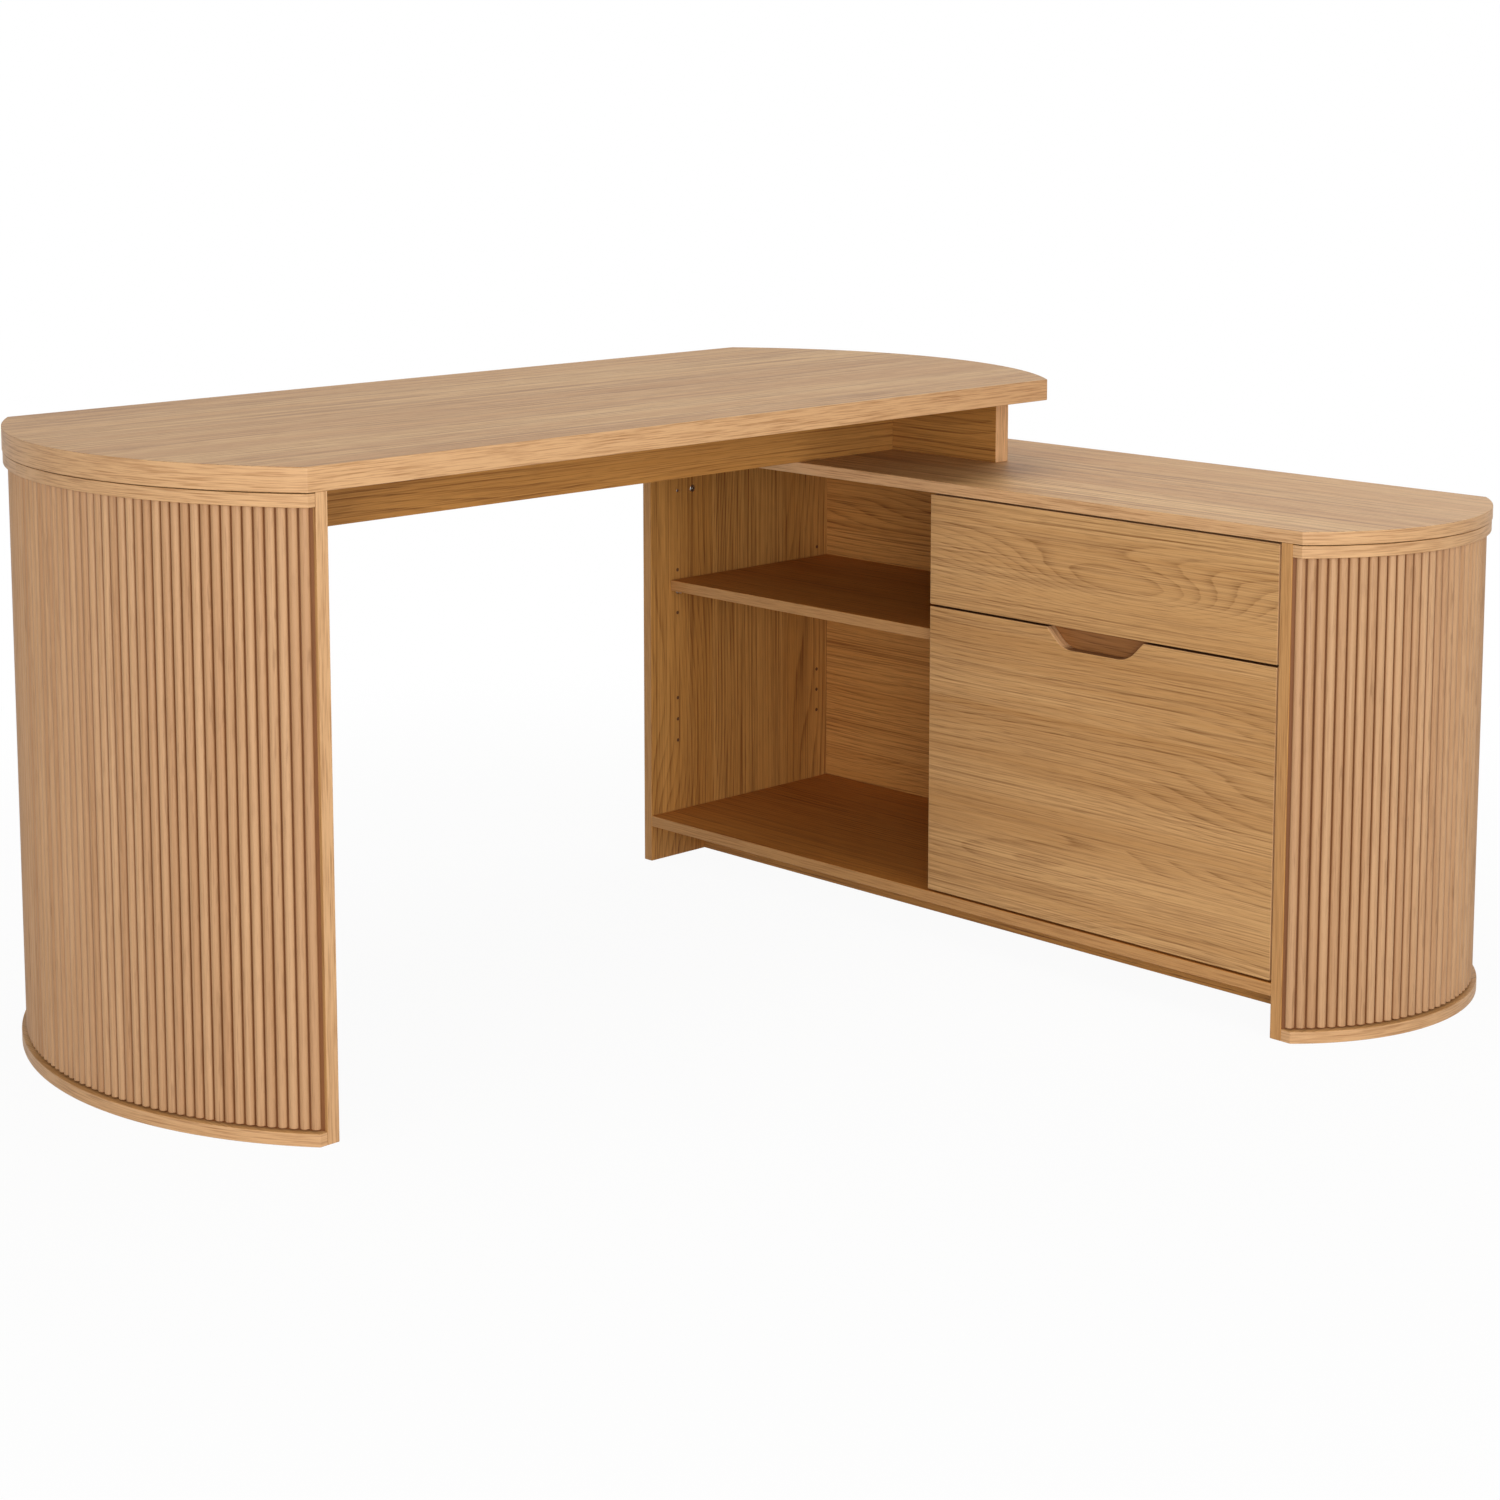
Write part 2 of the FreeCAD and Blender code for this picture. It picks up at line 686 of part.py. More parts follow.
def channel(name, wall_y, side, near, far, half_height, middle_z, open_near):
    """A runner member: a C section along the drawer, between two distances from the cabinet's wall."""
    x0 = "inner_x + front_gap + runner_set_in"
    x1 = "back_x - runner_back_room"

    def span(first, last):
        a = f"({wall_y}) + {side} * ({first})"
        b = f"({wall_y}) + {side} * ({last})"
        return (a, b) if side > 0 else (b, a)

    y0, y1 = span(near, far)
    solid = block(name + "_bar", x0, x1, y0, y1, f"{middle_z} - {half_height}", f"{middle_z} + {half_height}")
    c0, c1 = span(near, f"{far} - runner_wall") if open_near else span(f"{near} + runner_wall", far)
    inside = f"({half_height} - runner_wall)"
    hollow = block(name + "_hollow", x0, x1, c0, c1, f"{middle_z} - {inside}", f"{middle_z} + {inside}")
    return cut(name, solid, [hollow])


def runners(name, middle_z):
    """Both of a drawer's runners: cabinet, middle and drawer members nested with a running clearance."""
    outer_half = "(runner_height / 2)"
    step = "(runner_wall + runner_clearance)"
    middle_half = f"({outer_half} - {step})"
    inner_half = f"({middle_half} - {step})"
    members = (
        ("rails", "0", "runner_lip", outer_half, False),
        ("middles", step, f"runner_lip + {step}", middle_half, False),
        ("slides", f"2 * {step}", "runner_room", inner_half, True),
    )
    for member, near, far, half, open_near in members:
        pair = [
            channel(f"{name}_{member}_{side}", wall, sign, near, far, half, middle_z, open_near)
            for side, wall, sign in (("left", "divider_y", -1), ("right", "near_in_y", 1))
        ]
        keep(f"{name}_runner_{member}", group(f"{name}_runner_{member}", pair))


drawer(
    "upper_drawer", "upper_front_z", "upper_front_top_z", "(upper_front_z + upper_box_lift)",
    "(upper_front_top_z - upper_box_headroom)", "(upper_front_z + upper_runner_lift)", False,
)
drawer(
    "lower_drawer", "lower_front_z", "lower_front_top_z", "(lower_front_z + lower_box_lift)",
    "(lower_front_top_z - lower_box_headroom)", "(lower_front_z + lower_runner_lift)", True,
)

sheet.clear("D1")
doc.recompute()
for item in doc.Objects:
    if "Invalid" in item.State or "Error" in item.State:
        raise RuntimeError(f"{item.Name} failed: {item.State}")
for name, item in nodes.items():
    if item.Shape.isNull() or not item.Shape.isValid():
        raise RuntimeError(f"{name} has no valid shape")

os.makedirs("parts", exist_ok=True)
for name, item in nodes.items():
    item.Shape.exportStep(f"parts/{name}.step")
print(len(nodes), "nodes,", sum(len(item.Shape.Solids) for item in nodes.values()), "solids")
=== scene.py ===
"""Dresses the corner desk: eased oak boards, slatted round ends, drawers and fittings, on a pale stage."""

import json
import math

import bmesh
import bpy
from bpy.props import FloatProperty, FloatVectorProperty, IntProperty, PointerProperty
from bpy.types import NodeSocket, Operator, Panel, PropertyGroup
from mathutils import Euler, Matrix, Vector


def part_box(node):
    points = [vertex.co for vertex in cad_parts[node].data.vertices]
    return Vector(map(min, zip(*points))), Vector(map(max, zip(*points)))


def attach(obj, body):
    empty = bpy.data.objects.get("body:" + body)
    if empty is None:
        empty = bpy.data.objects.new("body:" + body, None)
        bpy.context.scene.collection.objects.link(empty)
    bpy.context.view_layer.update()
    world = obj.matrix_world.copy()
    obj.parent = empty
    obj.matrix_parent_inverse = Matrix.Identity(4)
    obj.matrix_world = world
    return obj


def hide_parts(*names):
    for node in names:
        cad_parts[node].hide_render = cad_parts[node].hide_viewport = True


bl_info = {
    "name": "Corner Desk Finish",
    "version": (1, 0, 0),
    "blender": (4, 5, 0),
    "location": "3D View > Sidebar > Desk",
    "description": "Oak boards, slatted round ends, drawers, runners and fittings of a corner desk",
    "category": "Object",
}

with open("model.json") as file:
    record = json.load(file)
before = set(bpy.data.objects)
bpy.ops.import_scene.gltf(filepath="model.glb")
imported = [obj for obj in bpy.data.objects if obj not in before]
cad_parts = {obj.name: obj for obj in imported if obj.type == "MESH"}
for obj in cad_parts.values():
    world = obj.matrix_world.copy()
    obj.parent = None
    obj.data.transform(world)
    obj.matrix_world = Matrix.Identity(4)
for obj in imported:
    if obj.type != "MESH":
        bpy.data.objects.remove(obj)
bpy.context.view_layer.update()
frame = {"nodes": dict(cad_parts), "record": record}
RECORD = frame["record"]
BODY_OF = {node: body for body, nodes in RECORD["behaviour"]["bodies"].items() for node in nodes}

QUARTER = math.pi / 2
AXES = {"x": Vector((1, 0, 0)), "y": Vector((0, 1, 0)), "z": Vector((0, 0, 1))}
TOWARDS = {
    "+x": Euler((0, QUARTER, 0)),
    "-y": Euler((QUARTER, 0, 0)),
    "+y": Euler((-QUARTER, 0, 0)),
    "+z": Euler((0, 0, 0)),
}


# Settings

def srgb(red, green, blue):
    """A colour written as screen values from 0 to 255, in the linear form that shaders take."""
    shares = [value / 255 for value in (red, green, blue)]
    return tuple(s / 12.92 if s <= 0.04045 else ((s + 0.055) / 1.055) ** 2.4 for s in shares)


def colour_prop(name, description, *screen):
    return FloatVectorProperty(
        name=name, description=description, subtype="COLOR", size=3, min=0, max=1, default=srgb(*screen),
    )


def float_prop(name, description, default, **kind):
    return FloatProperty(name=name, description=description, default=default, **kind)


def length_prop(name, description, default):
    return float_prop(name, description, default, min=0, unit="LENGTH", precision=4)


def share_prop(name, description, default):
    return float_prop(name, description, default, min=0, max=1, subtype="FACTOR")


def angle_prop(name, description, degrees):
    return float_prop(name, description, math.radians(degrees), subtype="ANGLE")


def power_prop(name, description, default):
    return float_prop(name, description, default, min=0, unit="POWER")


def count_prop(name, description, default, **limits):
    return IntProperty(name=name, description=description, default=default, **limits)


def group_prop(name, group):
    return PointerProperty(type=group, name=name, description=group.__doc__.rstrip("."))


class DeskOakSettings(PropertyGroup):
    """Colours and figure of the oak."""

    light: colour_prop("Light wood", "Pale late wood between the growth rings", 206, 161, 107)
    mid: colour_prop("Mid wood", "The veneer's usual tone", 184, 136, 82)
    dark: colour_prop("Ring wood", "Darker early wood along the growth rings", 134, 90, 48)
    pore: colour_prop("Pores", "Fine dark dashes along the grain", 104, 66, 34)
    # Painted light: the tops' palette is paler and less saturated than the veneer above, standing in for the
    # bright light and sheen on the tops.
    top_light: colour_prop("Top light", "Pale wood of the tops", 200, 161, 110)
    top_mid: colour_prop("Top mid", "Usual tone of the tops", 178, 134, 85)
    top_dark: colour_prop("Top dark", "Darker streaks of the tops", 126, 86, 50)
    # Painted shade: the boards under the tops have a warmer, more saturated palette and a darker edge band,
    # standing in for shade and warm bounced light there.
    inner_light: colour_prop("Inner light", "Pale wood of the boards under the tops", 202, 147, 79)
    inner_mid: colour_prop("Inner mid", "Usual tone of the boards under the tops", 186, 130, 64)
    inner_dark: colour_prop("Inner dark", "Darker grain of the boards under the tops", 132, 82, 34)
    # Painted light: the slats' palette is less saturated than the veneer, standing in for bright light on the
    # outer faces.
    slat_light: colour_prop("Slat light", "Palest slats", 198, 156, 115)
    slat_mid: colour_prop("Slat mid", "Usual tone of the slats", 184, 140, 100)
    slat_dark: colour_prop("Slat dark", "Darker grain of the slats", 158, 113, 72)
    # Painted shade: dark lines at the foot of each slat stand in for the shade in the grooves between slats.
    slat_crease_shade: colour_prop("Slat crease shade", "Dark lines where the slats meet the backing", 128, 80, 42)
    band_light: colour_prop("Edge band light", "Usual tone of the edge bands", 209, 165, 119)
    band_dark: colour_prop("Edge band dark", "Darker lines of the edge bands", 150, 102, 58)
    inner_band: colour_prop("Inner edge band", "Usual tone of the inner boards' edge bands", 192, 143, 89)
    # Painted shade: the drawer boxes are darkened so the board behind the finger pull and the gap between the
    # fronts read as shaded.
    box_painted_shade: share_prop("Drawer box painted shade", "How much darker the drawer boxes are than the veneer", 0.42)
    # The backing's brown is partly its own colour and partly painted shade, made dark so the grooves between
    # the slats read as shaded.
    backing: colour_prop("Backing", "Bent board behind the slats", 124, 76, 38)
    beech: colour_prop("Beech", "Plain wood of the dowels", 208, 172, 122)
    leaf_width: length_prop("Leaf width", "Width of one leaf of veneer", 0.15)
    ring_width: length_prop("Ring width", "Distance between growth rings on a flat-cut face", 0.0085)
    roughness: share_prop("Lacquer roughness", "Roughness of the matt lacquer", 0.5)


class DeskEdgeSettings(PropertyGroup):
    """How far edges are eased."""

    board: length_prop("Board edge", "Rounding of the boards' edges", 0.0009)
    box: length_prop("Drawer box edge", "Rounding of the drawer boxes' edges", 0.0006)
    metal: length_prop("Fine edge", "Rounding of the runners, ribs and backings", 0.0003)
    steps: count_prop("Edge steps", "Faces across one eased edge", 3, min=1, max=6)


class DeskSlatSettings(PropertyGroup):
    """Sizes of the slatted skins."""

    leg_count: count_prop("Leg slats", "Slats round the leg", 51, min=3)
    pod_count: count_prop("Cabinet slats", "Slats round the cabinet's near end", 34, min=3)
    leg_inset: length_prop("Leg inset", "Straight stretch of the leg's round boards", 0.010)
    pod_inset: length_prop("Cabinet inset", "Straight stretch of the cabinet's round boards", 0.014)
    recess: length_prop("Recess", "From the round boards' edge in to the slats' crests", 0.0055)
    depth: length_prop("Depth", "How far a slat's crest stands off the backing", 0.005)
    gap: length_prop("Gap", "Space between neighbouring slats", 0.0012)
    margin: length_prop("Margin", "Bare backing beside the first and the last slat", 0.0035)
    end_round: length_prop("End rounding", "Easing of a slat's ends", 0.0008)
    profile_steps: count_prop("Profile steps", "Faces across one slat", 10, min=4, max=24)


class DeskFittingSettings(PropertyGroup):
    """Sizes of the small fittings."""

    recess_depth: share_prop("Recess depth", "Depth of a cam's driver recess as a share of its length", 0.3)
    pin_collar: length_prop("Pin collar", "Thickness of the collar on a shelf pin", 0.0007)
    pin_collar_width: length_prop("Pin collar width", "How far the collar stands out round the pin", 0.0012)
    dowel_flutes: count_prop("Dowel flutes", "Glue grooves round a dowel", 14, min=4)
    steel: colour_prop("Runner steel", "Zinc plated runners", 190, 192, 196)
    nickel: colour_prop("Nickel", "Nickel plated cams, pins and bolts", 205, 203, 198)


class DeskStageSettings(PropertyGroup):
    """Camera, floor and lamps."""

    floor: colour_prop("Floor", "Pale floor", 214, 213, 211)
    eye: FloatVectorProperty(
        name="Camera place", description="Where the camera stands", subtype="TRANSLATION", unit="LENGTH",
        size=3, default=(-2.4939, -2.5444, 1.1858),
    )
    heading: angle_prop("Heading", "Camera's turn from +Y towards +X", 44.309)
    dip: angle_prop("Dip", "How far the camera looks down", 7.666)
    lens: float_prop("Lens", "Focal length in millimetres", 71.09, min=1)
    shift: float_prop("Shift", "Upward shift of the lens as a share of the frame", -0.2)
    sky: float_prop("Sky", "Strength of the even light all round", 0.24, min=0)
    top_lamp: power_prop("Top lamp", "Softbox overhead", 40)
    key_lamp: power_prop("Key lamp", "Softbox at the sitter's side", 44)
    side_lamp: power_prop("Side lamp", "Softbox at the leg's side", 18)
    fill_lamp: power_prop("Fill lamp", "Low softbox by the camera", 92)
    back_lamp: power_prop("Back lamp", "Softbox behind the cabinet", 38)


class CornerDeskSettings(PropertyGroup):
    """All settings of the desk."""

    oak: group_prop("Oak", DeskOakSettings)
    edges: group_prop("Edges", DeskEdgeSettings)
    slats: group_prop("Slats", DeskSlatSettings)
    fittings: group_prop("Fittings", DeskFittingSettings)
    stage: group_prop("Stage", DeskStageSettings)


def settings():
    return bpy.context.scene.corner_desk


# Node building

class Wires:
    """Short ways to add and join nodes in one tree."""

    def __init__(self, tree):
        self.tree = tree

    def add(self, kind, inputs=None, **choices):
        """A node with some choices made, and values or other nodes' outputs on some of its inputs."""
        node = self.tree.nodes.new(kind)
        for choice, value in choices.items():
            setattr(node, choice, value)
        self.feed(node, inputs or {})
        return node

    def feed(self, node, inputs):
        for key, value in inputs.items():
            self.plug(node.inputs[key], value)

    def plug(self, socket, value):
        if isinstance(value, NodeSocket):
            self.tree.links.new(value, socket)
        else:
            socket.default_value = value

    def math(self, operation, *values, clamp=False):
        inputs = dict(enumerate(values))
        return self.add("ShaderNodeMath", inputs, operation=operation, use_clamp=clamp).outputs[0]

    def plus(self, first, second, clamp=False):
        return self.math("ADD", first, second, clamp=clamp)

    def times(self, first, second):
        return self.math("MULTIPLY", first, second)

    def times_plus(self, first, second, third, clamp=False):
        return self.math("MULTIPLY_ADD", first, second, third, clamp=clamp)

    def vector(self, operation, *values):
        node = self.add("ShaderNodeVectorMath", dict(enumerate(values)), operation=operation)
        return node.outputs["Value" if operation in ("DOT_PRODUCT", "LENGTH") else "Vector"]

    def combine(self, x, y, z):
        return self.add("ShaderNodeCombineXYZ", {0: x, 1: y, 2: z}).outputs[0]

    def separate(self, vector):
        return self.add("ShaderNodeSeparateXYZ", {0: vector}).outputs

    def noise(self, vector, detail, roughness=0.5):
        inputs = {"Vector": vector, "Scale": 1, "Detail": detail, "Roughness": roughness}
        return self.add("ShaderNodeTexNoise", inputs, noise_dimensions="3D").outputs["Fac"]

    def remap(self, value, low, high, to_low=0.0, to_high=1.0, curve="LINEAR"):
        inputs = dict(enumerate((value, low, high, to_low, to_high)))
        return self.add("ShaderNodeMapRange", inputs, interpolation_type=curve).outputs[0]

    def blend(self, share, first, second):
        node = self.add("ShaderNodeMix", {0: share}, data_type="RGBA")
        colours = [socket for socket in node.inputs if socket.type == "RGBA"]
        self.plug(colours[0], first)
        self.plug(colours[1], second)
        return next(socket for socket in node.outputs if socket.type == "RGBA")


def new_group(name, kind, inputs, outputs):
    """An empty node group with its input and output nodes. Sockets are given by kind, with defaults."""
    tree = bpy.data.node_groups.new(name, kind)
    for side, kinds in (("INPUT", inputs), ("OUTPUT", outputs)):
        for socket_kind, sockets in kinds.items():
            for socket_name, default in sockets.items():
                socket = tree.interface.new_socket(
                    name=socket_name, in_out=side, socket_type="NodeSocket" + socket_kind,
                )
                if default is not None:
                    socket.default_value = default
    wires = Wires(tree)
    return tree, wires, wires.add("NodeGroupInput").outputs, wires.add("NodeGroupOutput").inputs


def solid(colour):
    return (*colour, 1)


# Finishes

# The noises of the oak figure: waves per metre along and across the grain, offset, detail and roughness.
FIGURE_NOISES = {
    "cloud": (0.7, 15.0, 11.0, 3, 0.5),
    "swell": (1.8, 8.0, 0.0, 1, 0.25),
    "calm": (0.5, 6.0, 31.0, 0, 0.5),
    "patch": (0.9, 7.0, 23.0, 1, 0.5),
    "streak": (0.9, 120.0, 5.0, 3, 0.5),
    "fine": (4.5, 480.0, 7.0, 3, 0.5),
    "dash": (26.0, 850.0, 3.0, 1, 0.5),
}
NOISE_MIDDLE = 0.5
# How far apart leaves of veneer lie in the figure, along it and in depth, and how far their tones differ.
LEAF_RUN = 3.0
LEAF_SLICE = 5.0
LEAF_TONE = 0.3
# Growth rings: where they bend, how they start, fade and fray, where they show and how they break up.
CALM_BEND = (0.38, 0.6, 1.0, 7.0)
RING_START = 0.1
RING_FADE = 3.4
RING_FRAY = 0.35
RING_PATCHES = (0.36, 0.6, 0.25, 1.0)
RING_DASHES = (0.38, 0.62)
DASH_DEPTH = 0.55
EYE_LENGTH = 0.2
EYE_WIDTH = 0.036
EYE_DEPTH = 0.7
# Pores, clouds of paler wood and fine threads.
PORE_DASHES = (0.54, 0.66)
PORES_IN_RINGS = 0.7
CLOUD_SHARE = 0.62
CLOUD_RANGE = (0.38, 0.62)
THREAD_SHARE = 0.6
THREAD_RANGE = (0.47, 0.66)
# Edge bands, and the upward normals of edges that take painted shade.
BAND_WAVES = (18.0, 18.0, 760.0)
BAND_NOISE = (3, 0.6)
BAND_RANGE = (0.44, 0.78)
TOP_SHADE_RANGE = (0.9, 0.99)
FACE_LIMIT = 0.6
# Relief and roughness of grain and pores.
GRAIN_RELIEF = 0.5
PORE_RELIEF = -0.8
GRAIN_ROUGHNESS = 0.16
PORE_ROUGHNESS = 0.12


def oak_figure():
    """Flat-cut oak veneer in leaves, with rings, streaks and pores, and an edge band of fine lines.

    The vector's first axis runs along the grain, the second across it and the third through the board.
    """
    name = "Oak figure"
    if name in bpy.data.node_groups:
        return bpy.data.node_groups[name]
    inputs = {
        "Vector": {"Vector": (0, 0, 0), "Face Axis": (0, 0, 1), "Eye Place": (0, 0, 0)},
        "Float": {
            "Edge Band": 1, "Raw Edge": 0, "Bored Half Length": 0, "Bored Half Width": 0, "Figure": 3,
            "Eye Rings": 0, "Ring Depth": 0.8, "Grain Depth": 0.45, "Ring Width": 0.012, "Leaf Width": 0.15,
            "Seed": 0, "Tone": 0, "Roughness": 0.42,
        },
        "Color": dict.fromkeys(("Light", "Mid", "Dark", "Pore", "Band Light", "Band Dark")),
    }
    outputs = {"Color": {"Color": None}, "Float": {"Roughness": None, "Height": None}}
    tree, wires, given, result = new_group(name, "ShaderNodeTree", inputs, outputs)
    along, across, _ = wires.separate(given["Vector"])
    seed = given["Seed"]

    # Each leaf of veneer has its own tone and its own stretch of figure. One leaf lies along the middle.
    leaf = wires.math("ROUND", wires.math("DIVIDE", across, given["Leaf Width"]))
    draw = wires.add("ShaderNodeTexWhiteNoise", {"W": wires.plus(leaf, seed)}, noise_dimensions="1D")
    leaf_share = draw.outputs["Value"]
    run = wires.plus(along, wires.times(leaf_share, LEAF_RUN))
    slice_z = wires.plus(seed, wires.times(leaf_share, LEAF_SLICE))

    def grain_noise(per_along, per_across, offset, detail, roughness):
        place = wires.combine(
            wires.times(run, per_along),
            wires.times(across, per_across),
            wires.plus(slice_z, offset),
        )
        return wires.noise(place, detail, roughness)

    cloud, swell, calm, patch, streak, fine, dash = (grain_noise(*form) for form in FIGURE_NOISES.values())

    # A ring starts sharp and dark, then fades into pale wood. Its dark part is broken up into dashes. Rings
    # bend in some stretches and run straight in others. Where the cut grazes them, they close to an eye.
    bend = wires.times(wires.math("SUBTRACT", swell, NOISE_MIDDLE), given["Figure"])
    bend = wires.times(bend, wires.remap(calm, *CALM_BEND))
    to_eye = wires.vector("SUBTRACT", given["Vector"], given["Eye Place"])
    to_eye = wires.vector("MULTIPLY", to_eye, (1 / EYE_LENGTH, 1 / EYE_WIDTH, 0.0))
    from_eye = wires.vector("DOT_PRODUCT", to_eye, to_eye)
    eye = wires.math("EXPONENT", wires.times(from_eye, -1.0))
    bend = wires.times_plus(eye, given["Eye Rings"], bend)
    frayed = wires.times_plus(streak, RING_FRAY, bend)
    growth = wires.math("FRACT", wires.plus(wires.math("DIVIDE", across, given["Ring Width"]), frayed))
    fading = wires.math("POWER", wires.math("SUBTRACT", 1.0, growth), RING_FADE)
    ring = wires.times(fading, wires.remap(growth, 0.0, RING_START, curve="SMOOTHSTEP"))
    eye_shown = wires.times(eye, wires.math("MINIMUM", given["Eye Rings"], EYE_DEPTH))
    ring = wires.times(ring, wires.math("MAXIMUM", wires.remap(patch, *RING_PATCHES), eye_shown))
    dashed = wires.times_plus(wires.remap(fine, *RING_DASHES), DASH_DEPTH, 1 - DASH_DEPTH)
    marked = wires.times(ring, dashed)
    pore_share = wires.times_plus(ring, PORES_IN_RINGS, 1 - PORES_IN_RINGS)
    pore = wires.times(wires.remap(dash, *PORE_DASHES), pore_share)

    def shared(first, share, second):
        return wires.times_plus(first, share, wires.times(second, 1 - share))

    leaf_tone = wires.times_plus(leaf_share, LEAF_TONE, -LEAF_TONE / 2)
    tone = wires.plus(leaf_tone, given["Tone"])
    pale = wires.plus(wires.remap(shared(cloud, CLOUD_SHARE, streak), *CLOUD_RANGE), tone, clamp=True)
    thread = wires.remap(shared(fine, THREAD_SHARE, streak), *THREAD_RANGE)
    thread = wires.times(thread, given["Grain Depth"])
    lined = wires.times_plus(marked, given["Ring Depth"], thread, clamp=True)
    face = wires.blend(pale, given["Mid"], given["Light"])
    face = wires.blend(lined, face, given["Dark"])
    face = wires.blend(wires.times(pore, given["Grain Depth"]), face, given["Pore"])

    # Edge bands are strips whose lines run along the edge, so they change fast only through the board. An
    # edge that faces up can take the pore colour instead of its band as painted shade.
    # The walls of holes in the bored part of a board have no band and take the pore colour too.
    band_line = wires.noise(wires.vector("MULTIPLY", given["Vector"], BAND_WAVES), *BAND_NOISE)
    band = wires.blend(wires.remap(band_line, *BAND_RANGE), given["Band Light"], given["Band Dark"])
    normal = wires.add("ShaderNodeNewGeometry").outputs["True Normal"]
    # Painted shade: where an edge faces up it takes the pore colour, standing in for the shadow in the gap
    # between the drawer fronts.
    raw = wires.times(wires.remap(wires.separate(normal)[2], *TOP_SHADE_RANGE), given["Raw Edge"])
    bored = wires.times(
        wires.math("LESS_THAN", wires.math("ABSOLUTE", along), given["Bored Half Length"]),
        wires.math("LESS_THAN", wires.math("ABSOLUTE", across), given["Bored Half Width"]),
    )
    band = wires.blend(wires.math("MAXIMUM", raw, bored), band, given["Pore"])
    facing = wires.math("ABSOLUTE", wires.vector("DOT_PRODUCT", normal, given["Face Axis"]))
    on_edge = wires.times(wires.math("LESS_THAN", facing, FACE_LIMIT), given["Edge Band"])

    wires.plug(result["Color"], wires.blend(on_edge, face, band))
    grain = wires.times_plus(fine, GRAIN_RELIEF, wires.times(pore, PORE_RELIEF))
    height = wires.add("ShaderNodeMix", {0: on_edge, 2: grain, 3: band_line}, data_type="FLOAT")
    wires.plug(result["Height"], height.outputs[0])
    uneven = wires.math("SUBTRACT", fine, NOISE_MIDDLE)
    rough = wires.times_plus(uneven, GRAIN_ROUGHNESS, given["Roughness"])
    wires.plug(result["Roughness"], wires.times_plus(pore, PORE_ROUGHNESS, rough))
    return tree


def new_material(name):
    material = bpy.data.materials.new(name)
    material.use_nodes = True
    return material, Wires(material.node_tree), material.node_tree.nodes["Principled BSDF"]


def grain_place(wires, along, through, centre=(0, 0, 0)):
    """A board's own coordinates from its middle, turned to run along the grain, across it and through."""
    grain = AXES[along]
    face = AXES[through]
    turn = Matrix((grain, face.cross(grain), face)).to_euler()
    inputs = {
        "Vector": wires.add("ShaderNodeTexCoord").outputs["Object"],
        "Rotation": turn,
        "Location": -(turn.to_matrix() @ Vector(centre)),
    }
    return wires.add("ShaderNodeMapping", inputs).outputs["Vector"]


def relief(wires, shader, height, strength, distance):
    """A faint relief on a finish."""
    bump = wires.add("ShaderNodeBump", {"Height": height, "Strength": strength, "Distance": distance})
    wires.plug(shader.inputs["Normal"], bump.outputs["Normal"])


def palette(light, mid, dark, pore=None, band_light=None, band_dark=None):
    """Colours for the oak figure, with the boards' own pores and edge bands where none are given."""
    oak = settings().oak
    return {
        "Light": light, "Mid": mid, "Dark": dark, "Pore": pore or oak.pore,
        "Band Light": band_light or oak.band_light, "Band Dark": band_dark or oak.band_dark,
    }


def lifted(colours, *shares):
    """The same colours for the board's face with red, green and blue brighter or darker by their shares."""
    faces = {socket: colour for socket, colour in colours.items() if not socket.startswith("Band")}
    bright = {socket: [a * b for a, b in zip(colour, shares)] for socket, colour in faces.items()}
    return {**colours, **bright}


def plain_palette(colour, shade):
    """One colour and its darker shade, for plain woods."""
    dim = [share * shade for share in colour]
    return palette(colour, colour, dim, dim, colour, dim)


LACQUER_SPECULAR = 0.28
LACQUER_RELIEF = (0.22, 0.0003)


def oak_material(
    name, along, through, centre=(0, 0, 0), seed=0.0, figure=3.0, rings=0.8, grain=0.45, colours=None,
    band=1.0, more=None,
):
    """Lacquered oak whose grain runs along one axis of a board with its face square to another."""
    oak = settings().oak
    material, wires, shader = new_material(name)
    inputs = {
        "Vector": grain_place(wires, along, through, centre), "Face Axis": AXES[through], "Edge Band": band,
        "Figure": figure, "Ring Depth": rings, "Grain Depth": grain, "Ring Width": oak.ring_width,
        "Leaf Width": oak.leaf_width, "Seed": seed, "Roughness": oak.roughness, **(more or {}),
    }
    for socket, colour in (colours or palette(oak.light, oak.mid, oak.dark)).items():
        inputs[socket] = solid(colour)
    figure_node = wires.add("ShaderNodeGroup", inputs, node_tree=oak_figure())
    look = figure_node.outputs
    wires.feed(shader, {"Base Color": look["Color"], "Roughness": look["Roughness"]})
    wires.feed(shader, {"Specular IOR Level": LACQUER_SPECULAR})
    relief(wires, shader, look["Height"], *LACQUER_RELIEF)
    return material, wires, figure_node


# How far slats differ in figure and in tone, and how far up a slat the painted shade at its foot reaches.
SLAT_FIGURES = 40.0
SLAT_TONES = 0.9
DARKEST_SLAT = -0.4
CREASE_SHADE_RANGE = (0.05, 0.5)


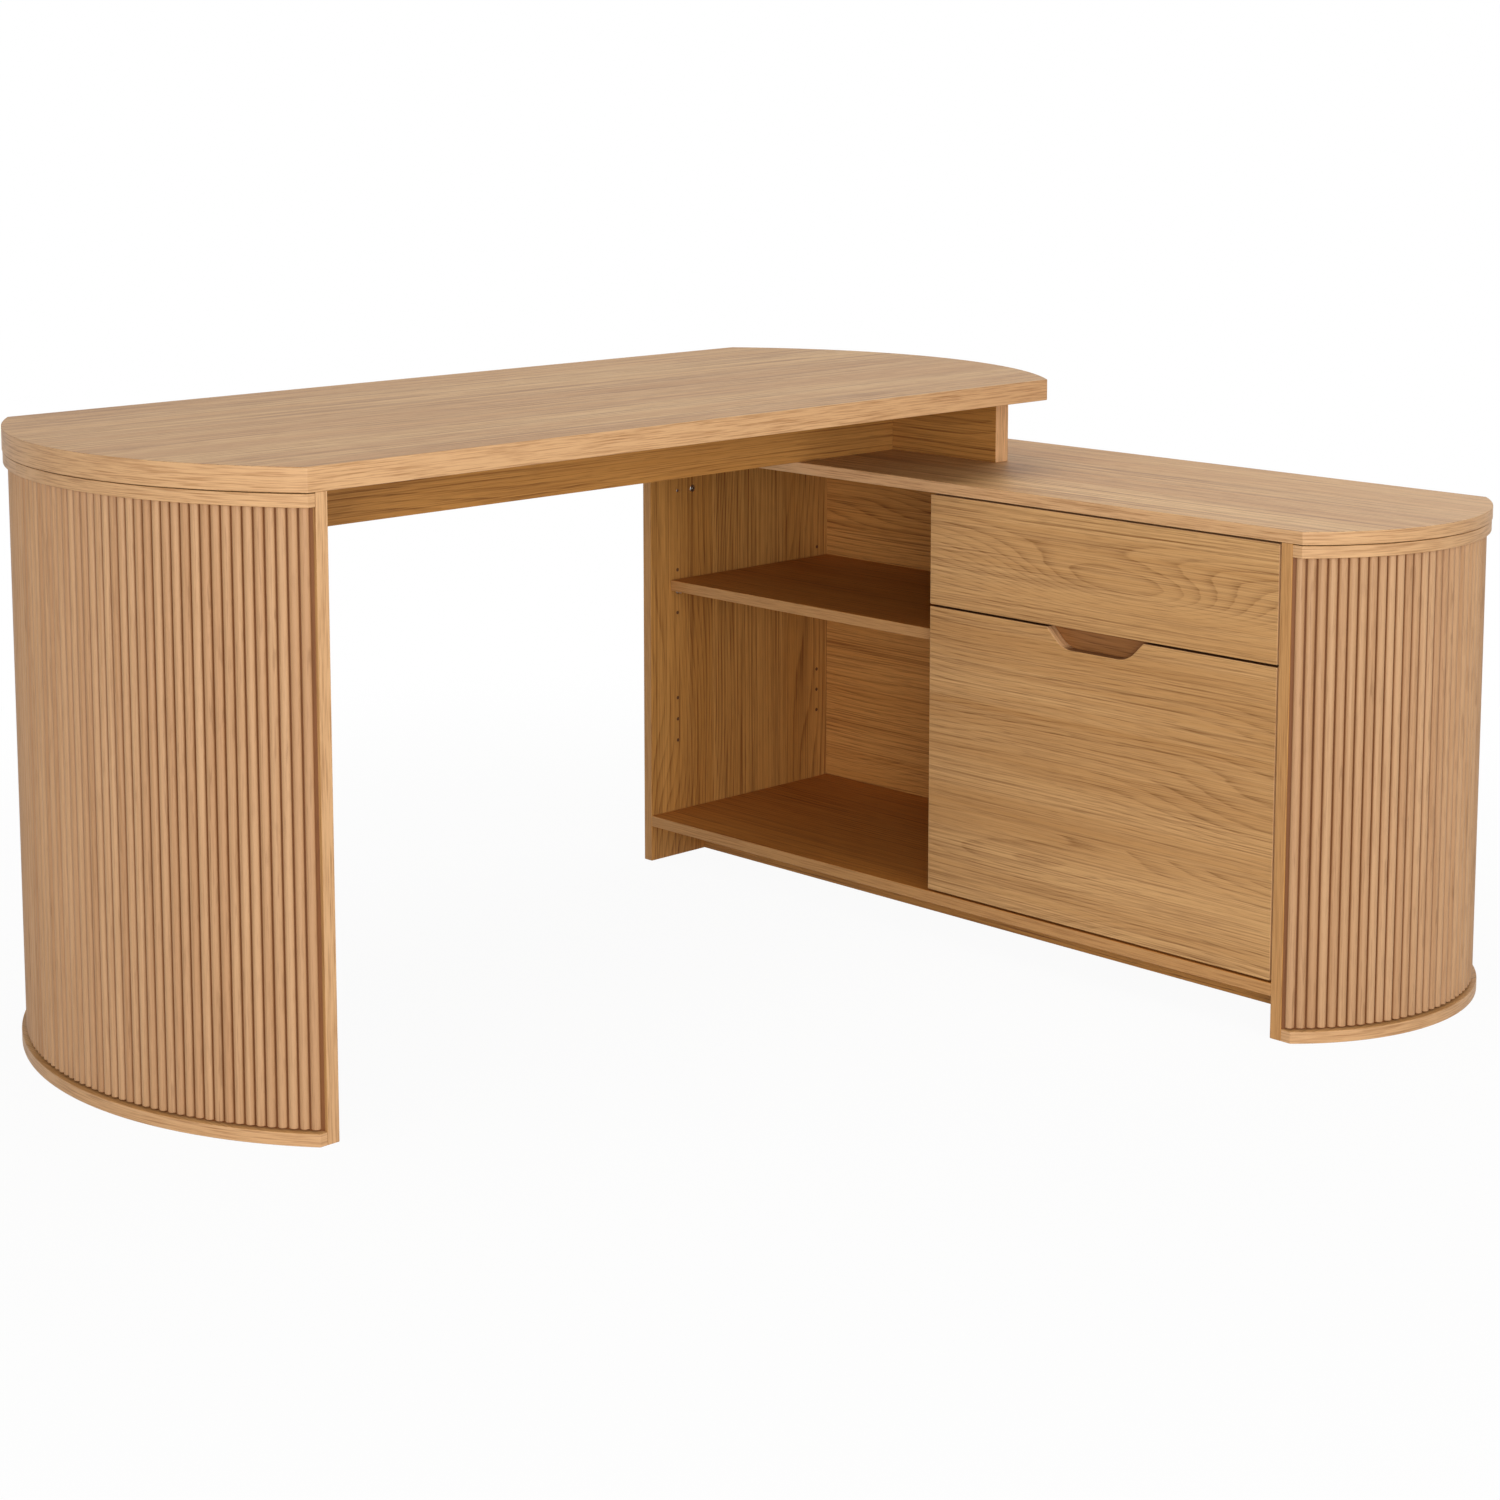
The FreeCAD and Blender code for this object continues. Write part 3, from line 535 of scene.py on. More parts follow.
def slat_material(seed):
    """Oak with upright grain, a little different on every slat."""
    oak = settings().oak
    colours = palette(oak.slat_light, oak.slat_mid, oak.slat_dark)
    material, wires, figure_node = oak_material(
        "slat oak", "z", "x", seed=seed, figure=1.0, rings=0.1, grain=0.5, colours=colours, band=0.0,
    )

    def stored(name):
        return wires.add("ShaderNodeAttribute", attribute_name=name, attribute_type="GEOMETRY").outputs["Fac"]

    share = stored("slat_share")
    own_seed = wires.times_plus(share, SLAT_FIGURES, seed)
    wires.feed(figure_node, {"Seed": own_seed, "Tone": wires.times_plus(share, SLAT_TONES, DARKEST_SLAT)})
    # Painted shade: each slat darkens towards its foot, where the grooves between slats lie in shade.
    above_crease_shade = wires.remap(stored("crest"), *CREASE_SHADE_RANGE)
    shader = material.node_tree.nodes["Principled BSDF"]
    shown = wires.blend(above_crease_shade, solid(oak.slat_crease_shade), figure_node.outputs["Color"])
    wires.plug(shader.inputs["Base Color"], shown)
    return material


METAL_LINES = (12.0, 900.0, 900.0)
METAL_CLOUDS = (60, 60, 60)
METAL_TINT = (0.3, 0.7, 0.0, 0.35)
METAL_SHADE = 0.78
METAL_ROUGHNESS = (0.3, 0.7, 0.24, 0.42)
METAL_RELIEF = (0.08, 0.0002)


def metal_material(name, colour, along):
    """Plated steel with faint rolling lines along one axis."""
    material, wires, shader = new_material(name)
    place = grain_place(wires, along, "z" if along != "z" else "x")
    line = wires.noise(wires.vector("MULTIPLY", place, METAL_LINES), detail=3)
    cloud = wires.noise(wires.vector("MULTIPLY", place, METAL_CLOUDS), detail=2)
    tint = wires.remap(cloud, *METAL_TINT)
    shade = [share * METAL_SHADE for share in colour]
    plating = wires.blend(tint, solid(colour), solid(shade))
    rough = wires.remap(line, *METAL_ROUGHNESS)
    wires.feed(shader, {"Base Color": plating, "Roughness": rough, "Metallic": 1})
    relief(wires, shader, line, *METAL_RELIEF)
    return material


# Shapes

WELD = 0.00001
FLAT = math.radians(0.5)
SHARP = math.radians(40)
RIM_FACET = 0.0012
BORE_MARGIN = 0.004


def middle_of(node):
    low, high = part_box(node)
    return (low + high) / 2


def show(name, mesh, material=None):
    piece = bpy.data.objects.new(name, mesh)
    bpy.context.scene.collection.objects.link(piece)
    if material is not None:
        mesh.materials.append(material)
    return piece


def seat(piece, *nodes):
    """The piece stands for these nodes, which are hidden, and moves with their body."""
    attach(piece, BODY_OF[nodes[0]])
    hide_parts(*nodes)


def welded(node):
    """A node's shape with its seams closed."""
    shape = bmesh.new()
    shape.from_mesh(frame["nodes"][node].data)
    bmesh.ops.remove_doubles(shape, verts=shape.verts, dist=WELD)
    return shape


def smooth_mesh(name, shape):
    """A mesh with smooth faces from a shape that isn't needed any more."""
    for face in shape.faces:
        face.smooth = True
    mesh = bpy.data.meshes.new(name)
    shape.to_mesh(mesh)
    shape.free()
    return mesh


def eased_mesh(node, radius):
    """A node's shape with whole faces and rounded edges. Rims of small holes stay crisp."""
    shape = welded(node)
    bmesh.ops.dissolve_limit(shape, angle_limit=FLAT, verts=shape.verts, edges=shape.edges)
    sharp = [
        edge for edge in shape.edges
        if len(edge.link_faces) == 2 and edge.calc_face_angle() > SHARP and edge.calc_length() > RIM_FACET
    ]
    bmesh.ops.bevel(
        shape, geom=sharp, offset=radius, segments=settings().edges.steps, profile=0.5, affect="EDGES",
        clamp_overlap=False,
    )
    return smooth_mesh(node, shape)


def eased_piece(node, radius, material):
    """A finished board or bar in place of its node."""
    piece = show(node + "_piece", eased_mesh(node, radius), material)
    even = piece.modifiers.new("Even shading", "WEIGHTED_NORMAL")
    even.weight = 100
    even.keep_sharp = False
    seat(piece, node)


def wooden_piece(node, finish, along, through, seed, edge, **look):
    """A piece of wood whose figure lies about its middle."""
    material, _, _ = oak_material(f"{node} {finish}", along, through, middle_of(node), seed, **look)
    eased_piece(node, edge, material)


def oak_board(node, along, through, seed, raw=0.0, bored=False, eye=None, **look):
    """A board of oak. Its upward edges can take painted shade, and the walls of the holes in its face can go
    without an edge band.

    An eye in its figure is given by its place along and across the board and its number of rings.
    """
    more = {"Raw Edge": raw}
    if eye:
        *place, more["Eye Rings"] = eye
        more["Eye Place"] = (*place, 0)
    if bored:
        low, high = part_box(node)
        half = (high - low) / 2
        across = AXES[through].cross(AXES[along])
        more["Bored Half Length"] = half.dot(AXES[along]) - BORE_MARGIN
        more["Bored Half Width"] = abs(half.dot(across)) - BORE_MARGIN
    wooden_piece(node, "oak", along, through, seed, settings().edges.board, more=more, **look)


def top_board(node, along, seed, lift=1.0):
    """A board with the tops' palette, paler as painted light."""
    oak = settings().oak
    colours = lifted(palette(oak.top_light, oak.top_mid, oak.top_dark), lift, lift, lift)
    oak_board(node, along, "z", seed, figure=1.0, rings=0.6, grain=0.95, colours=colours)


def inner_board(node, along, through, seed, figure=1.6, lift=(1, 1, 1), band=None, bored=False):
    """A board with the inner palette, warmer as painted shade under the tops."""
    oak = settings().oak
    colours = palette(oak.inner_light, oak.inner_mid, oak.inner_dark, band_light=band or oak.inner_band)
    colours = lifted(colours, *lift)
    oak_board(node, along, through, seed, bored=bored, figure=figure, rings=0.95, grain=0.75, colours=colours)


def solids_of(node):
    """The middle and the size of each separate solid in a node."""
    shape = welded(node)
    waiting = set(shape.verts)
    found = []
    while waiting:
        stack = [waiting.pop()]
        island = []
        while stack:
            vert = stack.pop()
            island.append(vert.co.copy())
            for edge in vert.link_edges:
                other = edge.other_vert(vert)
                if other in waiting:
                    waiting.remove(other)
                    stack.append(other)
        low = Vector(min(co[axis] for co in island) for axis in range(3))
        high = Vector(max(co[axis] for co in island) for axis in range(3))
        found.append(((low + high) / 2, high - low))
    shape.free()
    return sorted(found, key=lambda solid_box: tuple(round(value, 4) for value in solid_box[0]))


# Repeated shapes

def helper(name, shape):
    """A hidden shape that a node tree repeats."""
    bmesh.ops.recalc_face_normals(shape, faces=shape.faces)
    mesh = smooth_mesh(name, shape)
    mesh.set_sharp_from_angle(angle=SHARP)
    return show(name, mesh)


def grow(name, tree, seeds, values, tool):
    """Runs a node tree over some points, keeps its mesh and drops the shape that it repeats."""
    host = show(name, seeds)
    growth = host.modifiers.new("Growth", "NODES")
    growth.node_group = tree
    for socket in tree.interface.items_tree:
        if socket.item_type == "SOCKET" and socket.in_out == "INPUT" and socket.name in values:
            growth[socket.identifier] = values[socket.name]
    graph = bpy.context.evaluated_depsgraph_get()
    grown = host.evaluated_get(graph)
    mesh = bpy.data.meshes.new_from_object(grown, preserve_all_data_layers=True, depsgraph=graph)
    if not mesh.polygons:
        raise RuntimeError(f"{name} grew no faces")
    host.modifiers.remove(growth)
    host.data = mesh
    mesh.name = name
    bpy.data.objects.remove(tool)
    return host


def copies_at(wires, points, thing, angles, **more):
    """Copies of an object at points, turned by angles."""
    shape = wires.add("GeometryNodeObjectInfo", {"Object": thing}, transform_space="ORIGINAL")
    turn = wires.add("FunctionNodeEulerToRotation", {0: angles})
    inputs = {"Points": points, "Instance": shape.outputs["Geometry"], "Rotation": turn.outputs[0], **more}
    return wires.add("GeometryNodeInstanceOnPoints", inputs).outputs["Instances"]


def hand_on(wires, result, copies, material):
    """Copies made real and dressed, as the result of a tree."""
    real = wires.add("GeometryNodeRealizeInstances", {0: copies})
    dress = wires.add("GeometryNodeSetMaterial", {"Geometry": real.outputs[0], "Material": material})
    wires.plug(result["Geometry"], dress.outputs[0])


def add_wall(shape, rings):
    """Faces between rings of points, from the lowest ring up, and one that closes the lowest ring."""
    for low, high in zip(rings, rings[1:]):
        for side in range(len(low)):
            after = (side + 1) % len(low)
            shape.faces.new((low[side], low[after], high[after], high[side]))
    shape.faces.new(rings[0][::-1])


# Slatted skins

def round_end(board, inset, towards):
    """The centre, the radius and the bulge of a round board's edge that bulges along one axis."""
    low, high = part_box(board)
    axis, other = (0, 1) if towards == "-x" else (1, 0)
    half = (high[other] - low[other]) / 2
    out = high[axis] - low[axis] - inset
    radius = (half ** 2 + out ** 2) / (2 * out)
    centre = (low + high) / 2
    centre[axis] = low[axis] + radius
    return centre, radius, out


def slat_shape(width, depth, backing_radius, height):
    """One half-round slat standing along Z, its back on the backing's curve and its crest towards +X.

    Its points know how far they lie from the slat's foot, at nought, to its crest, at one.
    """
    slats = settings().slats
    steps = slats.profile_steps
    chord_x = math.sqrt(backing_radius ** 2 - width ** 2 / 4) - backing_radius
    crown = depth - chord_x
    radius = (width ** 2 / 4 + crown ** 2) / (2 * crown)
    reach = math.asin(min(1.0, width / 2 / radius))
    if crown > radius:
        reach = math.pi - reach

    def section(margin):
        points = []
        for step in range(steps + 1):
            turn = reach * (2 * step / steps - 1)
            x = depth - radius + radius * math.cos(turn)
            y = radius * math.sin(turn)
            points.append((max(x - margin, chord_x), y * (1 - 2 * margin / width)))
        return points

    shape = bmesh.new()
    crest = shape.verts.layers.float.new("crest")
    rings = []
    eased = slats.end_round
    for z, margin in ((0, eased), (eased, 0), (height - eased, 0), (height, eased)):
        ring = [shape.verts.new((x, y, z)) for x, y in section(margin)]
        for vert in ring:
            vert[crest] = (vert.co.x - chord_x) / crown
        rings.append(ring)
    add_wall(shape, rings)
    shape.faces.new(rings[-1])
    return shape


def slat_row_tree():
    """A row of slats standing on an arc, each with its own share for tone and figure."""
    name = "Slat row"
    if name in bpy.data.node_groups:
        return bpy.data.node_groups[name]
    inputs = {
        "Geometry": {"Geometry": None},
        "Object": {"Slat": None},
        "Int": {"Count": 10, "Seed": 1},
        "Float": {"Radius": 0.3, "First Angle": 0, "Step": 0.03},
        "Vector": {"Centre": (0, 0, 0)},
        "Material": {"Material": None},
    }
    tree, wires, given, result = new_group(name, "GeometryNodeTree", inputs, {"Geometry": {"Geometry": None}})
    line = wires.add("GeometryNodeMeshLine", {"Count": given["Count"]})
    index = wires.add("GeometryNodeInputIndex").outputs[0]
    angle = wires.times_plus(index, given["Step"], given["First Angle"])
    spot = wires.combine(
        wires.times(wires.math("COSINE", angle), given["Radius"]),
        wires.times(wires.math("SINE", angle), given["Radius"]),
        0.0,
    )
    places = {"Geometry": line.outputs["Mesh"], "Position": wires.vector("ADD", spot, given["Centre"])}
    stand = wires.add("GeometryNodeSetPosition", places)
    copies = copies_at(wires, stand.outputs["Geometry"], given["Slat"], wires.combine(0.0, 0.0, angle))
    draw = wires.add("FunctionNodeRandomValue", {"ID": index, "Seed": given["Seed"]}, data_type="FLOAT")
    share = wires.add(
        "GeometryNodeStoreNamedAttribute", {"Geometry": copies, "Name": "slat_share"}, data_type="FLOAT",
        domain="INSTANCE",
    )
    drawn = next(out for out in draw.outputs if out.type == "VALUE" and out.enabled)
    wires.plug(next(socket for socket in share.inputs if socket.name == "Value" and socket.enabled), drawn)
    hand_on(wires, result, share.outputs[0], given["Material"])
    return tree


def slat_row(node, board, inset, towards, count, seed):
    slats = settings().slats
    centre, radius, out = round_end(board, inset, towards)
    skin = radius - slats.recess - slats.depth
    face_reach = radius - inset - out
    sweep = 2 * math.acos(face_reach / skin) - 2 * slats.margin / skin
    step = sweep / count
    width = skin * step - slats.gap
    low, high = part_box(node)
    slat = helper("slat_helper", slat_shape(width, slats.depth, skin, high.z - low.z))
    middle = {"-x": math.pi, "-y": -QUARTER}[towards]
    values = {
        "Slat": slat, "Count": count, "Radius": skin, "First Angle": middle - (sweep - step) / 2,
        "Step": step, "Centre": (centre.x, centre.y, low.z), "Seed": seed,
        "Material": slat_material(float(seed)),
    }
    row = grow(node + "_row", slat_row_tree(), bpy.data.meshes.new("slat points"), values, slat)
    seat(row, node)


# Small fittings

def fittings_tree():
    """One fitting repeated at points, turned the way each point faces."""
    name = "Fittings"
    if name in bpy.data.node_groups:
        return bpy.data.node_groups[name]
    inputs = {
        "Geometry": {"Geometry": None},
        "Object": {"Fitting": None},
        "Float": {"Diameter": 0.01, "Length": 0.01},
        "Material": {"Material": None},
    }
    tree, wires, given, result = new_group(name, "GeometryNodeTree", inputs, {"Geometry": {"Geometry": None}})
    facing = wires.add("GeometryNodeInputNamedAttribute", {"Name": "facing"}, data_type="FLOAT_VECTOR")
    angles = next(out for out in facing.outputs if out.enabled)
    scale = wires.combine(given["Diameter"], given["Diameter"], given["Length"])
    copies = copies_at(wires, given["Geometry"], given["Fitting"], angles, Scale=scale)
    hand_on(wires, result, copies, given["Material"])
    return tree


def fitting_points(places):
    """Points for fittings, each with the turn that faces it outwards."""
    mesh = bpy.data.meshes.new("fitting points")
    mesh.from_pydata([place for place, _ in places], [], [])
    turns = mesh.attributes.new("facing", "FLOAT_VECTOR", "POINT")
    for slot, (_, towards) in zip(turns.data, places):
        slot.vector = TOWARDS[towards]
    return mesh


ROUND_SIDES = 28
FLUTE_DEPTH = 0.06
FLUTED_OVER = 0.45
RECESS_TAPER = 0.8


def turned_shape(profile, sides=ROUND_SIDES, fluted=False, recess=None):
    """A turned piece about Z from (radius, height) pairs, top first, in shares of its diameter and length.

    Flutes are grooves along the middle. A recess is a driver's cross, as (arm, half width, depth).
    """
    shape = bmesh.new()
    rings = []
    for radius, z in profile:
        ring = []
        for side in range(sides):
            turn = 2 * math.pi * side / sides
            dent = 1 - FLUTE_DEPTH * (side % 2) if fluted and radius > FLUTED_OVER else 1
            ring.append(shape.verts.new((radius * dent * math.cos(turn), radius * dent * math.sin(turn), z)))
        rings.append(ring)
    add_wall(shape, rings[::-1])
    if recess is None:
        shape.faces.new(rings[0])
        return shape
    arm, half, depth = recess
    corners = []
    for quarter in range(4):
        spin = Matrix.Rotation(quarter * QUARTER, 2)
        for corner in ((arm, -half), (arm, half), (half, half)):
            corners.append(spin @ Vector(corner))
    top_z = profile[0][1]
    rim = [shape.verts.new((*corner, top_z)) for corner in corners]
    floor = [shape.verts.new((*(corner * RECESS_TAPER), top_z - depth)) for corner in corners]
    rim_edges = []
    for spot in range(len(rim)):
        after = (spot + 1) % len(rim)
        rim_edges.append(shape.edges.new((rim[spot], rim[after])))
        shape.faces.new((rim[spot], rim[after], floor[after], floor[spot]))
    shape.faces.new(floor)
    outer = [shape.edges.get((rings[0][side], rings[0][(side + 1) % sides])) for side in range(sides)]
    bmesh.ops.triangle_fill(shape, edges=outer + rim_edges, use_beauty=True)
    return shape


def fit(node, shape, places, diameter, length, material):
    tool = helper(node + "_helper", shape)
    values = {"Fitting": tool, "Diameter": diameter, "Length": length, "Material": material}
    piece = grow(node + "_set", fittings_tree(), fitting_points(places), values, tool)
    seat(piece, node)


UPRIGHTS = ("cabinet_far_panel", "cabinet_divider", "cabinet_near_panel")


def upright_facing(middle):
    """Which way a fitting sunk into an upright faces: out of the side that it lies nearer to."""
    upright = min(UPRIGHTS, key=lambda node: abs(middle_of(node).y - middle.y))
    return "-y" if middle.y < middle_of(upright).y else "+y"


def sunk_places(node):
    """Where each fitting's face lies on its upright."""
    places = []
    for middle, size in solids_of(node):
        towards = upright_facing(middle)
        face = middle.copy()
        face.y += size.y / 2 if towards == "+y" else -size.y / 2
        places.append((face, towards))
    return places


# Operators

class DESK_OT_writing_top(Operator):
    """Builds the writing top"""

    bl_idname = "desk.writing_top"
    bl_label = "Writing top"

    def execute(self, context):
        top_board("desktop", "x", seed=1.0)
        return {"FINISHED"}


# Painted light: the riser's edge band is brighter than the other bands.
RISER_PAINTED_LIGHT = 1.25


class DESK_OT_leg_and_knee(Operator):
    """Builds the leg panel, the knee panel and the riser"""

    bl_idname = "desk.leg_and_knee"
    bl_label = "Leg panel, knee panel and riser"

    def execute(self, context):
        oak_board("leg_panel", "z", "x", seed=2.0, figure=2.0)
        inner_board("knee_panel", "x", "y", seed=3.0)
        # Painted light: the riser's edge band is brightened.
        lit_riser_band = [share * RISER_PAINTED_LIGHT for share in settings().oak.band_light]
        inner_board("riser", "y", "x", seed=4.0, figure=2.6, band=lit_riser_band)
        return {"FINISHED"}


# Boards that lie flat in the bay are darker and deeper in tone as painted shade. Its back and the cabinet's
# top are brighter as painted light.
FLAT_PAINTED_SHADE = (0.96, 0.8, 0.6)
BACK_PAINTED_LIGHT = (1.2, 1.2, 1.3)
TOP_PAINTED_LIGHT = 1.12


class DESK_OT_cabinet(Operator):
    """Builds the cabinet's boards and its shelf"""

    bl_idname = "desk.cabinet"
    bl_label = "Cabinet boards"

    def execute(self, context):
        # Painted light on the cabinet's top and back, painted shade on its floor and shelf.
        top_board("cabinet_top", "y", seed=5.0, lift=TOP_PAINTED_LIGHT)
        inner_board("cabinet_far_panel", "z", "y", seed=6.0, figure=2.6, bored=True)
        inner_board("cabinet_near_panel", "z", "y", seed=7.0)
        inner_board("cabinet_divider", "z", "y", seed=8.0, bored=True)
        inner_board("cabinet_floor", "y", "z", seed=9.0, lift=FLAT_PAINTED_SHADE)
        inner_board("cabinet_back", "y", "x", seed=10.0, figure=3.0, lift=BACK_PAINTED_LIGHT)
        inner_board("kick_rail", "y", "x", seed=11.0)
        inner_board("shelf", "y", "z", seed=12.0, lift=FLAT_PAINTED_SHADE)
        return {"FINISHED"}


BACKING_DARK_SHARE = 0.6


class DESK_OT_round_boards(Operator):
    """Builds the round boards, ribs and backings behind the slats"""

    bl_idname = "desk.round_boards"
    bl_label = "Round boards and backings"

    def execute(self, context):
        edge = settings().edges.metal
        # The backing's dark brown is partly painted shade for the grooves between the slats.
        shade_darkened_backing = plain_palette(settings().oak.backing, BACKING_DARK_SHARE)
        for seed, (end, along) in enumerate((("leg", "y"), ("pod", "x")), start=13):
            oak_board(f"{end}_top_board", along, "z", seed=seed, figure=1.2)
            oak_board(f"{end}_bottom_board", along, "z", seed=seed + 0.3, figure=1.2)
            for hidden, grain, through in (("middle_rib", "x", "z"), ("backing", "z", "x")):
                node = f"{end}_{hidden}"
                wooden_piece(node, "ply", grain, through, seed + 0.7, edge, colours=shade_darkened_backing, band=0.0)
        return {"FINISHED"}


class DESK_OT_slats(Operator):
    """Builds the slatted skins of the leg and of the cabinet's near end"""

    bl_idname = "desk.slats"
    bl_label = "Slats"

    def execute(self, context):
        slats = settings().slats
        slat_row("leg_slats", "leg_bottom_board", slats.leg_inset, "-x", slats.leg_count, seed=15)
        slat_row("pod_slats", "pod_bottom_board", slats.pod_inset, "-y", slats.pod_count, seed=16)
        return {"FINISHED"}


# Each drawer: how far its front's rings bend, how much painted shade darkens its upward edges, and the eye in
# its figure.
DRAWERS = (
    ("upper_drawer", 1.9, 0.0, (-0.04, -0.014, 6.4)),
    ("lower_drawer", 2.3, 1.0, (0.11, -0.13, 5.4)),
)
BOX_BOARDS = (
    ("box_front", "y", "x"), ("box_back", "y", "x"), ("left_side", "x", "y"), ("right_side", "x", "y"),
    ("bottom", "y", "z"),
)
# Painted shade on the drawer boxes is redder as well as darker.
BOX_SHADE_WARMTH = (1.0, 0.76, 0.58)


class DESK_OT_drawers(Operator):
    """Builds both drawers' fronts and boxes"""

    bl_idname = "desk.drawers"
    bl_label = "Drawers"

    def execute(self, context):
        oak = settings().oak
        # Painted shade: the drawer boxes' colours are darkened and warmed.
        shares = [(1 - oak.box_painted_shade) * warmth for warmth in BOX_SHADE_WARMTH]
        shaded_box_colours = lifted(palette(oak.light, oak.mid, oak.dark), *shares)
        edge = settings().edges.box
        for seed, (drawer, figure, raw, eye) in enumerate(DRAWERS, start=17):
            oak_board(
                f"{drawer}_front", "y", "x", seed, raw=raw, eye=eye, figure=figure, rings=0.85, grain=0.65,
            )
            for place, (board, along, through) in enumerate(BOX_BOARDS, start=1):
                own_seed = seed + 0.1 * place
                node = f"{drawer}_{board}"
                wooden_piece(node, "oak", along, through, own_seed, edge, figure=1.6, colours=shaded_box_colours)
        return {"FINISHED"}


class DESK_OT_runners(Operator):
    """Builds the drawers' telescopic runners"""

    bl_idname = "desk.runners"
    bl_label = "Runners"

    def execute(self, context):
        steel = metal_material("runner steel", settings().fittings.steel, "x")
        for drawer, *_ in DRAWERS:
            for member in ("rails", "middles", "slides"):
                eased_piece(f"{drawer}_runner_{member}", settings().edges.metal, steel)
        return {"FINISHED"}


# Profiles of the turned fittings, and the arm, half width and depth of the driver's cross in cams and screws.
DISC = ((0.44, 0.0), (0.49, -0.04), (0.5, -0.1), (0.5, -1.0))
BOLT = (
    (0.36, 0.5), (0.5, 0.48), (0.5, 0.34), (0.42, 0.32), (0.42, -0.36), (0.34, -0.38), (0.34, -0.44),
    (0.5, -0.46), (0.5, -0.49), (0.4, -0.5),
)
SCREW = ((0.4, 0.0), (0.48, -0.03), (0.5, -0.07), (0.5, -0.1), (0.25, -0.102), (0.25, -0.9), (0.05, -1.0))
DOWEL = ((0.4, 0.5), (0.5, 0.45), (0.5, -0.45), (0.4, -0.5))
CAM_CROSS = (0.3, 0.06)
SCREW_CROSS = (0.24, 0.05, 0.06)
BEECH_SHADE = 0.8


class DESK_OT_fittings(Operator):
    """Builds the cams, caps, bolts, shelf pins, screws and dowels"""

    bl_idname = "desk.fittings"
    bl_label = "Fittings"

    def execute(self, context):
        sizes = settings().fittings
        nickel = metal_material("nickel", sizes.nickel, "z")
        for node, recess in (("cam_fittings", (*CAM_CROSS, sizes.recess_depth)), ("cam_caps", None)):
            _, size = solids_of(node)[0]
            fit(node, turned_shape(DISC, recess=recess), sunk_places(node), size.x, size.y, nickel)
        self.upright("cam_bolts", turned_shape(BOLT), nickel)
        self.pins(sizes, nickel)

        steel = metal_material("screw steel", sizes.steel, "x")
        for drawer, *_ in DRAWERS:
            node = f"{drawer}_front_screws"
            screws = solids_of(node)
            _, size = screws[0]
            places = [(middle + Vector((size.x / 2, 0, 0)), "+x") for middle, _ in screws]
            fit(node, turned_shape(SCREW, recess=SCREW_CROSS), places, size.y, size.x, steel)

        colours = plain_palette(settings().oak.beech, BEECH_SHADE)
        beech, _, _ = oak_material("beech", "z", "x", seed=30.0, figure=0.6, colours=colours, band=0.0)
        self.upright("top_dowels", turned_shape(DOWEL, sides=2 * sizes.dowel_flutes, fluted=True), beech)
        return {"FINISHED"}

    def upright(self, node, shape, material):
        """Fittings that stand upright in the tops."""
        solids = solids_of(node)
        _, size = solids[0]
        fit(node, shape, [(middle, "+z") for middle, _ in solids], size.x, size.z, material)

    def pins(self, sizes, nickel):
        """Shelf pins. A pin's collar lies against its upright, halfway along the pin."""
        solids = solids_of("shelf_pins")
        _, size = solids[0]
        wide = 0.5 + sizes.pin_collar_width / size.x
        thick = sizes.pin_collar / size.y
        profile = (
            (0.38, 0.5), (0.5, 0.46), (0.5, thick), (wide, thick), (wide, 0.0), (0.5, 0.0), (0.5, -0.46),
            (0.38, -0.5),
        )
        bay_middle = (middle_of("cabinet_far_panel").y + middle_of("cabinet_divider").y) / 2
        places = [(middle, "-y" if middle.y > bay_middle else "+y") for middle, _ in solids]
        fit("shelf_pins", turned_shape(profile), places, size.x, size.y, nickel)


# The floor fades to white round the desk, and the softboxes, each with its place and width, look at the desk.
FLOOR_HALF = 30.0
FADE_START = 1.0
FADE_END = 2.2
NEAR_GLOW = 0.95
LAMPS = {
    "top lamp": ((-0.2, 0.0, 3.3), 3.0),
    "key lamp": ((-0.4, -3.6, 1.9), 2.6),
    "side lamp": ((-3.6, -0.6, 1.9), 2.6),
    "fill lamp": ((-3.1, -3.1, 0.9), 2.0),
    "back lamp": ((3.4, 0.4, 3.2), 2.0),
}
LAMP_TARGET = Vector((0.05, 0.05, 0.4))
SENSOR_WIDTH = 36


def seen_rays(wires):
    """One where the camera, a reflection or a clear material looks, and nought for light on the object."""
    path = wires.add("ShaderNodeLightPath").outputs
    mirrored = wires.math("MAXIMUM", path["Is Glossy Ray"], path["Is Transmission Ray"])
    return wires.math("MAXIMUM", path["Is Camera Ray"], mirrored)


